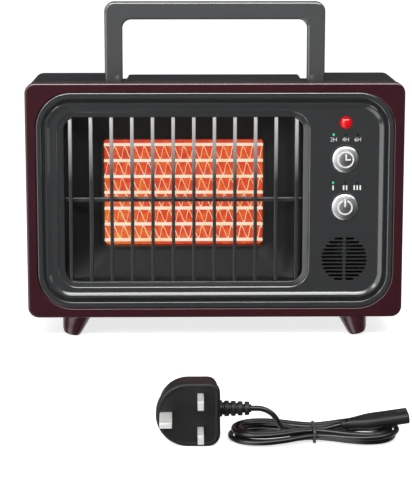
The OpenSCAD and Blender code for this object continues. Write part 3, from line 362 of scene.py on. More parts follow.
@dataclass(frozen=True)
class Glow(Finish):
    """Something so hot or bright that it gives its own light.

    Attributes:
        power: Strength of the light.
        patch_mm: Size of the hotter and cooler patches.
        hot: Colour of the hottest patches.
        cold: Colour of the piece without its light.
    """
    power: float = 1.0
    patch_mm: float = 9.0
    hot: str = "#ffb347"
    cold: str = "#4a3a2e"

    def shader(self, tree: bpy.types.NodeTree, place: bpy.types.NodeSocket) -> bpy.types.NodeSocket:
        """Build a surface that glows in hotter and cooler patches.

        Args:
            tree: Node tree of the material.
            place: Coordinates on the object, in metres.

        Returns:
            The shader's output.
        """
        surface = add_node(tree, "ShaderNodeBsdfPrincipled", {
            "Base Color": linear(self.cold), "Roughness": self.roughness, "IOR": self.ior,
            "Normal": self.grain(tree, place),
            "Emission Color": self.heat(tree, place), "Emission Strength": self.power})
        return surface.outputs["BSDF"]

    def heat(self, tree: bpy.types.NodeTree, place: bpy.types.NodeSocket) -> bpy.types.NodeSocket:
        """Give the glow's colour.

        Args:
            tree: Node tree of the material.
            place: Coordinates on the object, in metres.

        Returns:
            The colour's output.
        """
        noise = add_node(tree, "ShaderNodeTexNoise", {
            "Vector": place, "Scale": 1 / (self.patch_mm * MM), "Detail": 3.0, "Roughness": 0.7})
        return add_ramp(tree, noise.outputs["Fac"],
                        [(0.34, self.drift), (0.5, self.colour), (0.68, self.hot)])


@dataclass(frozen=True)
class CeramicGlow(Glow):
    """Ceramic that glows red, and yellower towards its lower left corner, where it is hottest.

    Attributes:
        corner: Hottest corner's X and Z in millimetres.
        reach_mm: How far the yellow spreads from that corner.
        pull: How far the pattern is shifted to yellow in that corner.
        hottest: Colour of the yellowest patches.
    """
    corner: Flat = (-89.0, 69.0)
    reach_mm: float = 62.0
    pull: float = 0.24
    hottest: str = "#ffd35a"

    def heat(self, tree: bpy.types.NodeTree, place: bpy.types.NodeSocket) -> bpy.types.NodeSocket:
        """Give the glow's colour, patchy and shifted to yellow near the hottest corner.

        Args:
            tree: Node tree of the material.
            place: Coordinates on the object, in metres.

        Returns:
            The colour's output.
        """
        noise = add_node(tree, "ShaderNodeTexNoise", {
            "Vector": place, "Scale": 1 / (self.patch_mm * MM), "Detail": 3.0, "Roughness": 0.65})
        away = add_node(tree, "ShaderNodeVectorMath", {
            0: place, 1: (self.corner[0] * MM, 0.0, self.corner[1] * MM)}, operation="DISTANCE")
        near = add_node(tree, "ShaderNodeMapRange", {
            "Value": away.outputs["Value"], "From Min": 0.0, "From Max": self.reach_mm * MM,
            "To Min": self.pull, "To Max": 0.0})
        total = add_node(tree, "ShaderNodeMath", {0: noise.outputs["Fac"], 1: near.outputs["Result"]},
                         operation="ADD")
        return add_ramp(tree, total.outputs["Value"],
                        [(0.36, self.drift), (0.52, self.colour), (0.74, self.hot), (0.9, self.hottest)])


# Painted ABS in deep burgundy: a smooth lacquer over a fine moulded skin, so its edges catch a thin line.
BURGUNDY = Finish("burgundy_lacquered_abs", "#3d161f", "#39131c", 0.34, 0.5, 0.004,
                  specular=0.2, coat=0.5, coat_roughness=0.06)
# The feet are the same ABS nearly as it comes from the mould: a broader, softer sheen.
FOOT_BURGUNDY = Finish("burgundy_moulded_abs", "#451f28", "#401b24", 0.26, 0.5, 0.004, specular=0.4, coat=0.1)
# Spark-eroded ABS: a dull, fine-grained charcoal that reflects little.
CHARCOAL = Finish("charcoal_moulded_abs", "#2b2c2d", "#27282a", 0.52, 0.7, 0.012, specular=0.12)
# Semi-gloss ABS of the front: painted shade darkens its hollows, and its beads catch clear highlights.
PANEL = PaintedShadeMoulding("front_panel_satin_abs", "#393a3b", "#303132", 0.24, 0.6, 0.003,
                       specular=0.2, coat=0.95, coat_roughness=0.06)
# Painted die-cast handle: a smooth gunmetal front whose edge catches a thin line. Painted shade darkens its
# sides and back, from just inside the front's rounded edge.
GUNMETAL = PaintedShadeMoulding("gunmetal_painted_alloy", "#515253", "#4a4b4c", 0.4, 0.5, 0.003,
                          specular=0.2, coat=1.0, coat_roughness=0.05,
                          deep="#232425", deep_roughness=0.45, deep_from=-30.75, deep_to=-30.3)
# Sprayed silver on the grille's blades, with a painted reflection: a painted highlight at the top and painted
# shade towards the bottom.
BLADE_SILVER = PaintedReflectionMetal("grille_silver_painted_reflection", "#d2d2d2", "#8c8d8e", 0.38, 0.5, 0.003, coat=0.15)
# The cross rail: a dull grey, much darker than the blades in front of it.
RAIL_GREY = Finish("grille_rail_grey", "#393a3b", "#343536", 0.4, 0.6, 0.004, specular=0.3)
# Turned aluminium of the buttons, finely blasted: bright, with soft highlights.
TURNED = Finish("buttons_turned_aluminium", "#bcbdbe", "#b0b1b2", 0.36, 0.4, 0.002, metallic=1.0)
# White resin inlaid in the caps: flat and bright.
ICON_WHITE = Finish("icons_white_inlay", "#ffffff", "#fafafa", 0.4)
# Screen-printing ink: white without a sheen.
PRINT_WHITE = Finish("print_white_ink", "#fbfbfb", "#f0f0f0", 0.6, 0.25, 0.003)
# Zinc-plated steel of screws, pins and shaft: a grey, slightly cloudy metal.
STEEL = Finish("screws_zinc_steel", "#a2a4a6", "#8b8d8f", 0.34, 0.4, 0.004, metallic=1.0)
# Moulded polycarbonate lens with a lamp behind it: a glowing red with a clear highlight.
LENS_RED = Glow("lens_red_polycarbonate", "#e80f1c", "#b8040e", 0.1, 0.6, 0.001,
                power=0.5, hot="#ff2a30", patch_mm=4.0, cold="#b8040e", ior=1.49)
# Acrylic light pipes: the lit ones glow green, and the others look nearly black.
LIGHT_GREEN = Glow("light_green_lit", "#38e0a4", "#22b482", 0.2, 0.4, 0.001,
                   power=0.9, hot="#8dffd8", cold="#156b50")
LIGHT_DARK = Finish("light_pipe_dark", "#1a2220", "#151b1a", 0.2)
# Rolled heating metal that glows: cream-white bars, and thin fins that are a little yellower.
BAR_GLOW = Glow("electrode_cream_glow", "#fff1d8", "#ffdfae", 0.5, power=0.82, hot="#fff9ec", patch_mm=14.0)
FIN_GLOW = Glow("fin_cream_glow", "#ffdfa8", "#ffb066", 0.5, power=0.78, hot="#fff3da", patch_mm=6.0)
# Fired ceramic that glows: red in cloudy patches, and yellower towards one corner.
CERAMIC_GLOW = CeramicGlow("ceramic_red_glow", "#f6421a", "#e02c14", 0.6,
                           power=0.72, hot="#ff7a2a", patch_mm=7.0)
# Moulded polyamide inside the casing: black frames, and an impeller that is a shade lighter.
INNER_BLACK = Finish("inner_black_polyamide", "#1d1e20", "#18191a", 0.5)
IMPELLER = Finish("impeller_grey_polyamide", "#3a3b3d", "#333436", 0.4)
# Drawn PVC sheath of the cord: smooth, with a fine highlight along each turn.
CORD_BLACK = Finish("cord_black_pvc", "#0f0f10", "#0c0c0d", 0.36, 0.5, 0.004, specular=0.4, coat=0.1)
# Moulded PVC of plug and connector: black, with a grain that spreads the light.
PLUG_BLACK = Finish("plug_black_pvc", "#1b1b1c", "#161617", 0.5, 0.9, 0.02, specular=0.3)
# Nickel-plated brass of the pins, drawn nearly white as a painted reflection of the white surroundings.
PIN_NICKEL = Finish("pins_nickel_plate", "#f1f1ef", "#e6e6e4", 0.34, 0.5, 0.002, metallic=0.15)
# Moulded nylon of the tie: a dark grey, a shade lighter than the cord.
TIE_GREY = Finish("tie_grey_nylon", "#4a4a4b", "#3f3f40", 0.4)


def outline(w: float, h: float, r: float, x: float = 0.0, z: float = 0.0, steps: int = 14) -> list[Flat]:
    """Draw a rectangle with round corners.

    Args:
        w: Width.
        h: Height.
        r: Radius of the corners.
        x: Middle across.
        z: Middle upwards.
        steps: Steps in each corner.

    Returns:
        Points anticlockwise, from the right side's upper end.
    """
    points = []
    for quarter, (sx, sz) in enumerate(((1, 1), (-1, 1), (-1, -1), (1, -1))):
        for k in range(steps + 1):
            a = math.radians(90 * (quarter + k / steps))
            points.append((x + sx * (w / 2 - r) + r * math.cos(a), z + sz * (h / 2 - r) + r * math.sin(a)))
    return points


def circle(r: float, x: float = 0.0, z: float = 0.0, steps: int = 64) -> list[Flat]:
    """Draw a circle of radius r about x and z."""
    turns = [2 * math.pi * k / steps for k in range(steps)]
    return [(x + r * math.cos(a), z + r * math.sin(a)) for a in turns]


def rounding(r: float, steps: int = 5) -> list[Flat]:
    """Step round a quarter fillet.

    Args:
        r: Radius of the fillet.
        steps: Steps round it.

    Returns:
        Pairs of the distance in from the side and the distance back from the face.
    """
    angles = [math.pi / 2 * k / steps for k in range(steps + 1)]
    return [(r * (1 - math.cos(a)), r * (1 - math.sin(a))) for a in angles]


# An edge of radius 1, as pairs of the inset from the side and the distance back from the face. It has a flat
# where it turns to the lamp.
EDGE: list[Flat] = [
    (0.0, 1.0), (0.04, 0.78), (0.12, 0.54), (0.26, 0.35), (0.44, 0.24), (0.84, 0.06), (1.0, 0.0)]


class Form:
    """A mesh under construction, in millimetres."""

    def __init__(self) -> None:
        """Start with nothing."""
        self.mesh = bmesh.new()

    def ring(self, points: list[Point]) -> list[bmesh.types.BMVert]:
        """Add the points of one closed ring and return its corners."""
        return [self.mesh.verts.new(p) for p in points]

    def across(self, points: list[Flat], y: float) -> list[bmesh.types.BMVert]:
        """Add a ring that stands in X and Z at depth y."""
        return self.ring([(x, y, z) for x, z in points])

    def bridge(self, first: list[bmesh.types.BMVert], second: list[bmesh.types.BMVert]) -> None:
        """Join two rings of as many corners with a band of faces.

        Args:
            first: Corners of the one ring.
            second: Corners of the other.
        """
        count = len(first)
        for k in range(count):
            j = (k + 1) % count
            self.mesh.faces.new((first[k], first[j], second[j], second[k]))

    def skin(self, rings: list[list[bmesh.types.BMVert]], capped: bool = True, looped: bool = False) -> None:
        """Join rings in a row.

        Args:
            rings: Rings of as many corners each.
            capped: Whether the two ends are closed with a face.
            looped: Whether the last ring joins the first.
        """
        for first, second in zip(rings, rings[1:]):
            self.bridge(first, second)
        if looped:
            self.bridge(rings[-1], rings[0])
        elif capped:
            self.mesh.faces.new(rings[0])
            self.mesh.faces.new(rings[-1])

    def fill(self, loops: list[list[bmesh.types.BMVert]]) -> None:
        """Fill the flat area between an outer ring and the rings inside it.

        Args:
            loops: The outer ring and then those inside it.
        """
        edges = []
        for loop in loops:
            for k, corner in enumerate(loop):
                pair = (corner, loop[(k + 1) % len(loop)])
                edges.append(self.mesh.edges.get(pair) or self.mesh.edges.new(pair))
        bmesh.ops.triangle_fill(self.mesh, use_beauty=True, use_dissolve=False, edges=edges)

    def lathe(self, profile: list[Flat], centre: Point, axis: Axis, steps: int = 72) -> None:
        """Turn a profile about an axis.

        Args:
            profile: Pairs of radius and distance along the axis. A radius of 0 makes a tip.
            centre: Point that the distances are measured from.
            axis: Direction of the axis.
            steps: Steps round it.
        """
        tip_r = 0.001
        x, y, z = centre
        rings = []
        for r, along in profile:
            turn = circle(max(r, tip_r), steps=steps)
            if axis is Axis.Y:
                points = [(x + a, y + along, z + b) for a, b in turn]
            elif axis is Axis.Z:
                points = [(x + a, y + b, z + along) for a, b in turn]
            else:
                points = [(x + along, y + a, z + b) for a, b in turn]
            rings.append(self.ring(points))
        self.skin(rings)

    def piece(self, name: str, finish: Finish, slot: str, body: str = "root",
              stands_for: tuple[str, ...] = (), sharp: float = CRISP_DEGREES) -> bpy.types.Object:
        """Turn the form into a piece that rides on a body.

        Args:
            name: Name of the piece.
            finish: Its surface.
            slot: Name of a material slot. It is not used.
            body: CAD body that it rides on.
            stands_for: CAD nodes that it is shown in place of.
            sharp: Angle in degrees past which an edge stays crisp.

        Returns:
            The new object.
        """
        bmesh.ops.remove_doubles(self.mesh, verts=self.mesh.verts, dist=SAME_MM)
        bmesh.ops.recalc_face_normals(self.mesh, faces=self.mesh.faces)
        bmesh.ops.scale(self.mesh, vec=(MM, MM, MM), verts=self.mesh.verts)
        data = bpy.data.meshes.new(name)
        self.mesh.to_mesh(data)
        self.mesh.free()
        data.polygons.foreach_set("use_smooth", [True] * len(data.polygons))
        data.set_sharp_from_angle(angle=math.radians(sharp))
        made = bpy.data.objects.new(name, data)
        bpy.context.scene.collection.objects.link(made)
        weigh = made.modifiers.new("even_normals", "WEIGHTED_NORMAL")
        weigh.keep_sharp = True
        return settle(made, finish, body, stands_for)


def settle(piece: bpy.types.Object, finish: Finish, body: str = "root",
           stands_for: tuple[str, ...] = ()) -> bpy.types.Object:
    """Give a piece its finish and seat it on a body.

    Args:
        piece: The object.
        finish: Its surface.
        body: CAD body that it rides on.
        stands_for: CAD nodes that it is shown in place of.

    Returns:
        The piece.
    """
    piece.data.materials.append(finish.material())
    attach(piece, body)
    if stands_for:
        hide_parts(*stands_for)
    LOG.info("%s rides on %s", piece.name, body)
    return piece


def dress(name: str, finish: Finish, edge_mm: float = 0.4, steps: int = 2) -> bpy.types.Object:
    """Give a CAD node its finish and break its edges as a mould would.

    Args:
        name: Name of the node.
        finish: Its surface.
        edge_mm: Width of the broken edges, or 0 to leave them.
        steps: Steps across a broken edge.

    Returns:
        The node's object.
    """
    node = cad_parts[name]
    if not node.material_slots:
        node.data.materials.append(None)
    for slot in node.material_slots:
        slot.material = finish.material()
    custom = node.data.attributes.get("custom_normal")
    if custom:
        node.data.attributes.remove(custom)
    node.data.polygons.foreach_set("use_smooth", [True] * len(node.data.polygons))
    node.data.set_sharp_from_angle(angle=math.radians(CRISP_DEGREES))
    weld = node.modifiers.new("weld", "WELD")
    weld.merge_threshold = WELD_MM * MM
    flatten = node.modifiers.new("merge_flats", "DECIMATE")
    flatten.decimate_type = "DISSOLVE"
    flatten.angle_limit = math.radians(FLAT_DEGREES)
    if edge_mm:
        broken = node.modifiers.new("broken_edges", "BEVEL")
        broken.width = edge_mm * MM
        broken.segments = steps
        broken.limit_method = "ANGLE"
        broken.angle_limit = math.radians(BROKEN_DEGREES)
        broken.miter_outer = "MITER_ARC"
    weigh = node.modifiers.new("even_normals", "WEIGHTED_NORMAL")
    weigh.keep_sharp = True
    LOG.info("%s dressed in %s", name, finish.name)
    return node


@dataclass
class Studio:
    """Camera, floor, world and soft lights.

    Attributes:
        eye: Camera's place in millimetres.
        pitch: How far it looks down, in degrees.
        yaw: How far it looks to the right, in degrees.
        lens: Focal length for a sensor of 36 mm.
        shift: Camera shift in X and Y.
        floor_side: Side of the floor in metres.
        floor_lift: Light that the floor adds for the camera, which keeps it white far off.
        soft_level: Level of the surroundings' soft light.
        gloss_level: Lowest level of the surroundings in reflections.
        card_level: Level of the white card at the left, in reflections.
        card_levels: Share of the card's level at each angle in degrees, from the front to the right.
        card_top: Rise of the reflected ray at which the card starts to fade, and at which it has ended.
        card_foot: Rise at which the card has ended below, and at which it is full.
        card_steep: Rise at which the card starts to show again, for the feet, and at which it is full.
        band_level: Level of the white band above, in reflections.
        band_rises: Share of the band's level at each rise of the ray.
        band_ahead: How far ahead the ray points where the band starts, and where it is full.
        behind: How far back the ray points where the white behind starts, and where it is full.
        behind_top: Rise at which the white behind starts to fade, and at which it is at its lowest.
        behind_low: Lowest level of the white behind.
    """
    eye: Point = (-25.9, -1377.8, 340.7)
    pitch: float = 9.71
    yaw: float = 0.87
    lens: float = 122.5
    shift: Flat = (-0.004, -0.1)
    floor_side: float = 40.0
    floor_lift: float = 0.76
    soft_level: float = 0.32
    gloss_level: float = 0.07
    card_level: float = 3.2
    card_levels: tuple[Flat, ...] = (
        (-84, 0.0), (-74, 0.4), (-66, 0.95), (-46, 1.0), (-30, 0.7), (-20, 0.4), (-12, 0.1), (-6, 0.0))
    card_top: Flat = (0.4, 0.6)
    card_foot: Flat = (-0.36, -0.27)
    card_steep: Flat = (-0.46, -0.54)
    band_level: float = 10.0
    band_rises: tuple[Flat, ...] = ((0.56, 0.0), (0.62, 1.0), (0.76, 1.0), (0.82, 0.0))
    band_ahead: Flat = (0.05, 0.3)
    behind: Flat = (0.1, 0.5)
    behind_top: Flat = (-0.06, 0.04)
    behind_low: float = 0.1

    def build(self) -> None:
        """Make everything that isn't part of the object."""
        self.camera()
        self.floor()
        self.world()
        self.lamp("key_strip", (-0.15, -1.35, 1.4), (0.0, 0.0, 0.1), (1.7, 0.3), 15.0)
        self.lamp("left_box", (-1.1, -1.4, 0.9), (0.0, -0.05, 0.12), (0.6, 0.6), 7.0)
        self.lamp("right_strip", (1.15, -1.2, 0.35), (0.0, -0.05, 0.1), (0.16, 1.0), 0.7)
        self.lamp("top_box", (0.5, 0.3, 1.5), (0.0, 0.0, 0.1), (1.2, 0.8), 4.0)

    def camera(self) -> None:
        """Place the camera at the photograph's view."""
        data = bpy.data.cameras.new("camera")
        data.lens = self.lens
        data.sensor_width = 36.0
        data.shift_x, data.shift_y = self.shift
        data.clip_end = 100.0
        made = bpy.data.objects.new("camera", data)
        made.location = Vector(self.eye) * MM
        made.rotation_euler = (math.radians(90 - self.pitch), 0.0, math.radians(-self.yaw))
        bpy.context.scene.collection.objects.link(made)
        bpy.context.scene.camera = made

    def floor(self) -> None:
        """Lay a pale floor: white where the light falls freely, with the object's soft shadow kept.

        Glossy rays pass through it, so that the world alone sets what reflections show.
        """
        half = self.floor_side / 2
        corners = [(-half, -half, 0), (half, -half, 0), (half, half, 0), (-half, half, 0)]
        data = bpy.data.meshes.new("floor")
        data.from_pydata(corners, [], [(0, 1, 2, 3)])
        made = bpy.data.objects.new("floor", data)
        bpy.context.scene.collection.objects.link(made)
        surface = bpy.data.materials.new("studio_paper")
        surface.use_nodes = True
        tree = surface.node_tree
        tree.nodes.clear()
        paper = add_node(tree, "ShaderNodeBsdfDiffuse", {"Color": linear("#f2f2f2")})
        lift = add_node(tree, "ShaderNodeEmission", {
            "Color": linear("#ffffff"), "Strength": self.floor_lift})
        both = add_node(tree, "ShaderNodeAddShader", {
            0: paper.outputs["BSDF"], 1: lift.outputs["Emission"]})
        mixed = add_node(tree, "ShaderNodeMixShader", {
            "Fac": self.from_camera(tree), 1: paper.outputs["BSDF"], 2: both.outputs["Shader"]})
        path = add_node(tree, "ShaderNodeLightPath")
        open_floor = add_node(tree, "ShaderNodeBsdfTransparent")
        shown = add_node(tree, "ShaderNodeMixShader", {
            "Fac": path.outputs["Is Glossy Ray"], 1: mixed.outputs["Shader"],
            2: open_floor.outputs["BSDF"]})
        add_node(tree, "ShaderNodeOutputMaterial", {"Surface": shown.outputs["Shader"]})
        data.materials.append(surface)

    @staticmethod
    def from_camera(tree: bpy.types.NodeTree) -> bpy.types.NodeSocket:
        """Give 1 for rays that come straight from the camera or through glass, and 0 for the rest.

        Args:
            tree: Node tree of the material.

        Returns:
            The level's output.
        """
        path = add_node(tree, "ShaderNodeLightPath")
        total = add_node(tree, "ShaderNodeMath", {
            0: path.outputs["Is Camera Ray"], 1: path.outputs["Is Transmission Ray"]}, operation="MAXIMUM")
        return total.outputs["Value"]

    def reflected(self, tree: bpy.types.NodeTree, way: bpy.types.NodeSocket) -> bpy.types.NodeSocket:
        """Give the studio's level in reflections.

        There is a white card at the left, a white band above and a white floor behind, and the rest is dim.

        Args:
            tree: Node tree that takes the nodes.
            way: Direction of the reflected ray.

        Returns:
            The level.
        """
        parts = add_node(tree, "ShaderNodeSeparateXYZ", {"Vector": way})
        rise = parts.outputs["Z"]
        ahead = add_node(tree, "ShaderNodeMath", {0: parts.outputs["Y"], 1: -1.0}, operation="MULTIPLY")
        turn = add_node(tree, "ShaderNodeMath", {0: parts.outputs["X"], 1: ahead.outputs["Value"]},
                        operation="ARCTAN2")
        share = add_node(tree, "ShaderNodeMapRange", {
            "Value": turn.outputs["Value"], "From Min": -math.pi, "From Max": math.pi})
        card = add_ramp(tree, share.outputs["Result"],
                        [(0.5 + degrees / 360, level) for degrees, level in self.card_levels])
        low = add_node(tree, "ShaderNodeMapRange", {
            "Value": rise, "From Min": self.card_top[0], "From Max": self.card_top[1],
            "To Min": 1.0, "To Max": 0.0})
        band = add_ramp(tree, rise, list(self.band_rises))
        front = add_node(tree, "ShaderNodeMapRange", {
            "Value": ahead.outputs["Value"], "From Min": self.band_ahead[0], "From Max": self.band_ahead[1],
            "To Max": self.band_level})
        high = add_node(tree, "ShaderNodeMapRange", {
            "Value": rise, "From Min": self.card_foot[0], "From Max": self.card_foot[1]})
        steep = add_node(tree, "ShaderNodeMapRange", {
            "Value": rise, "From Min": self.card_steep[0], "From Max": self.card_steep[1]})
        seen = add_node(tree, "ShaderNodeMath", {0: high.outputs["Result"], 1: steep.outputs["Result"]},
                        operation="MAXIMUM")
        inside = add_node(tree, "ShaderNodeMath", {0: low.outputs["Result"], 1: seen.outputs["Value"]},
                          operation="MULTIPLY")
        side = add_node(tree, "ShaderNodeMath", {0: card, 1: inside.outputs["Value"]}, operation="MULTIPLY")
        above = add_node(tree, "ShaderNodeMath", {0: band, 1: front.outputs["Result"]}, operation="MULTIPLY")
        shown = add_node(tree, "ShaderNodeMath", {
            0: side.outputs["Value"], 1: self.card_level, 2: above.outputs["Value"]},
            operation="MULTIPLY_ADD")
        level = add_node(tree, "ShaderNodeMath", {0: shown.outputs["Value"], 1: self.gloss_level},
                         operation="ADD")
        below = add_node(tree, "ShaderNodeMapRange", {
            "Value": rise, "From Min": self.behind_top[0], "From Max": self.behind_top[1],
            "To Min": 1.0, "To Max": self.behind_low})
        behind = add_node(tree, "ShaderNodeMapRange", {
            "Value": parts.outputs["Y"], "From Min": self.behind[0], "From Max": self.behind[1],
            "To Max": below.outputs["Result"]})
        total = add_node(tree, "ShaderNodeMath", {0: level.outputs["Value"], 1: behind.outputs["Result"]},
                         operation="MAXIMUM")
        return total.outputs["Value"]

    def world(self) -> None:
        """Show the surroundings white, light with a soft grey, and let reflections see the studio's cards."""
        world = bpy.data.worlds.new("studio")
        world.use_nodes = True
        tree = world.node_tree
        tree.nodes.clear()
        white = linear("#ffffff")
        around = add_node(tree, "ShaderNodeTexCoord").outputs["Generated"]
        soft = add_node(tree, "ShaderNodeBackground", {"Color": white, "Strength": self.soft_level})
        dim = add_node(tree, "ShaderNodeBackground", {
            "Color": white, "Strength": self.reflected(tree, around)})
        bright = add_node(tree, "ShaderNodeBackground", {"Color": white, "Strength": 1.0})
        path = add_node(tree, "ShaderNodeLightPath")
        inner = add_node(tree, "ShaderNodeMixShader", {
            "Fac": path.outputs["Is Glossy Ray"], 1: soft.outputs["Background"],
            2: dim.outputs["Background"]})
        outer = add_node(tree, "ShaderNodeMixShader", {
            "Fac": self.from_camera(tree), 1: inner.outputs["Shader"], 2: bright.outputs["Background"]})
        add_node(tree, "ShaderNodeOutputWorld", {"Surface": outer.outputs["Shader"]})
        bpy.context.scene.world = world

    @staticmethod
    def lamp(name: str, at: Point, aim: Point, size: Flat, watts: float) -> None:
        """Hang a soft box.

        Args:
            name: Name of the lamp.
            at: Its place in metres.
            aim: Point that it faces.
            size: Width and height in metres.
            watts: Power.
        """
        data = bpy.data.lights.new(name, "AREA")
        data.shape = "RECTANGLE"
        data.size, data.size_y = size
        data.energy = watts
        made = bpy.data.objects.new(name, data)
        made.location = at
        made.rotation_euler = (Vector(aim) - Vector(at)).to_track_quat("-Z", "Y").to_euler()
        bpy.context.scene.collection.objects.link(made)


@dataclass
class Lead:
    """The detachable lead: plug, pins, strain relief, hank with its tie, and the appliance connector.

    Attributes:
        x: Middle of the hank's waist.
        y: Depth of the lead's middle line.
        cord_d: Diameter of the cord.
        step_out: Distance between neighbouring turns.
        layers: Heights of the two layers.
        turns: Turns of the hank.
        rings_per_turn: Points along each turn.
        crowd: How far in degrees the points are drawn to the hank's two ends, where it bends most.
        climb_from: Turns after which the cord climbs to the upper layer.
        climb_turns: Turns that the climb takes.
        drop_r: Radius of the two bends between plug and floor.
        land_x: Where the cord reaches the floor, from the waist.
        connector_route: Way up into the connector, from the waist.
        plug_x: Middle of the plug.
        plug_back: Depth of the plug's back.
        plug_h: Distance from the plug's back to its face.
        plug_half: Distance from the plug's middle to its straight end.
        plug_round: Radius of its round end, and so the height of its middle.
        plug_corner: Radius of the corners at its straight end.
        face_in: How far its face lies behind its rim.
        exit_z: Height at which the cord leaves it.
        relief_x: Start of the strain relief.
        relief_len: Length of the strain relief.
        connector_x: Start of the connector, from the waist.
        connector_z: Height of that start.
        connector_tilt: How far the connector's nose rises, in degrees.
        connector_t: Thickness of its body.
        pin_gap: Distance between its two holes.
    """
    x: float = 59.0
    y: float = -312.0
    cord_d: float = 3.6
    step_out: float = 4.3
    layers: Flat = (2.7, 7.0)
    turns: int = 4
    rings_per_turn: int = 24
    crowd: float = 10.0
    climb_from: float = 1.75
    climb_turns: float = 0.5
    drop_r: float = 15.0
    land_x: float = -9.5
    connector_route: list[Point] = field(default_factory=lambda: [
        (5, 0, 7), (7, 0, 7), (9, 0, 7.35), (11, 0, 7.9), (12.8, 0, 8.4), (14.6, 0, 8.9), (16.2, 0, 9.3),
        (17.9, 0, 9.54)])
    plug_x: float = -22.5
    plug_back: float = -302.2
    plug_h: float = 25.0
    plug_half: float = 20.5
    plug_round: float = 21.0
    plug_corner: float = 8.0
    face_in: float = 0.3
    exit_z: float = 21.0
    relief_x: float = -3.6
    relief_len: float = 22.0
    connector_x: float = 18.0
    connector_z: float = 9.6
    connector_tilt: float = 8.0
    connector_t: float = 7.6
    pin_gap: float = 8.6

    def build(self) -> None:
        """Make the cord and the pieces on it."""
        pieces = [self.plug(), self.pins(), self.relief(), self.tie(), self.connector()]
        self.cord()

    def hank_point(self, u: float) -> Point:
        """Give the hank's centre line after u turns, about the waist.

        Args:
            u: Turns from the hank's start.

        Returns:
            X and Y from the waist, and the height.
        """
        turned = 360 * u - 90
        t = math.radians(turned - self.crowd * math.sin(math.radians(2 * turned)))
        waist = self.step_out / 4
        reach, reach3, rise3 = 43.5, 3.0, 6.75
        px = reach * math.cos(t) + reach3 * math.cos(3 * t)
        py = waist + (waist + rise3) * math.sin(t) + rise3 * math.sin(3 * t)
        way = Vector((-reach * math.sin(t) - 3 * reach3 * math.sin(3 * t),
                      (waist + rise3) * math.cos(t) + 3 * rise3 * math.cos(3 * t))).normalized()
        spread = self.step_out * (u if u < self.turns / 2 else self.turns - u)
        climb = min(max((u - self.climb_from) / self.climb_turns, 0.0), 1.0)
        rise = climb * climb * (3 - 2 * climb)
        z = self.layers[0] + (self.layers[1] - self.layers[0]) * rise
        return px + spread * way.y, py - spread * way.x, z

    def plug_route(self) -> list[Point]:
        """Lead the cord from the strain relief down to the floor, in two bends of one radius.

        Returns:
            Points about the hank's middle, in order.
        """
        floor_z = self.layers[0]
        turn = math.acos(1 - (self.exit_z - floor_z) / (2 * self.drop_r))
        start = self.land_x - 2 * self.drop_r * math.sin(turn)
        angles = [turn * i / 8 for i in range(9)]
        leave = [(start + self.drop_r * math.sin(a), 0.0, self.exit_z - self.drop_r * (1 - math.cos(a)))
                 for a in angles]
        land = [(self.land_x - self.drop_r * math.sin(a), 0.0, floor_z + self.drop_r * (1 - math.cos(a)))
                for a in reversed(angles[:-1])]
        first = (self.relief_x + self.relief_len - self.x, 0.0, self.exit_z)
        return [first] + leave + land + [(-7.0, 0.0, floor_z), (-5.0, 0.0, floor_z)]

    def cord(self) -> None:
        """Lay the cord as one curve from the strain relief through the hank to the connector.
        """
        count = self.turns * self.rings_per_turn
        hank = [self.hank_point(i / self.rings_per_turn) for i in range(count + 1)]
        points = self.plug_route() + hank + self.connector_route
        data = bpy.data.curves.new("mains_cord", "CURVE")
        data.dimensions = "3D"
        data.bevel_depth = self.cord_d / 2 * MM
        data.bevel_resolution = 6
        data.resolution_u = 5
        data.use_fill_caps = True
        spline = data.splines.new("BEZIER")
        spline.bezier_points.add(len(points) - 1)
        for knot, (x, y, z) in zip(spline.bezier_points, points):
            knot.co = Vector((self.x + x, self.y + y, z)) * MM
            knot.handle_left_type = knot.handle_right_type = "AUTO"
        made = bpy.data.objects.new("mains_cord", data)
        bpy.context.scene.collection.objects.link(made)
        settle(made, CORD_BLACK, "root", ("cord_plug_end", "cord_hank", "cord_connector_end"))

    def upright(self, form: Form, points: list[Flat], out: float) -> list[bmesh.types.BMVert]:
        """Add a ring of the plug, which stands on its rim with its face to the front.

        Args:
            form: Mesh that takes it.
            points: Places across and up, about the plug's middle.
            out: Distance from the plug's back towards its face.

        Returns:
            The ring's corners.
        """
        return form.across([(self.plug_x + a, self.plug_round + b) for a, b in points], self.plug_back - out)

    def plug_outline(self, inset: float) -> list[Flat]:
        """Draw the plug's face about its middle: round at the earth pin, and nearly square at the cord.

        Args:
            inset: How far it is drawn in all round.

        Returns:
            Points anticlockwise, from the round end.
        """
        side = self.plug_round - inset
        end = self.plug_half - inset
        corner = max(self.plug_corner - inset, 1.0)
        points = []
        for k in range(40 + 1):
            a = math.radians(90 + 180 * k / 40)
            points.append((side * math.cos(a), side * math.sin(a)))
        for start, sy in ((270, -1), (0, 1)):
            for k in range(12 + 1):
                a = math.radians(start + 90 * k / 12)
                points.append((end - corner + corner * math.cos(a),
                               sy * (side - corner) + corner * math.sin(a)))
        return points

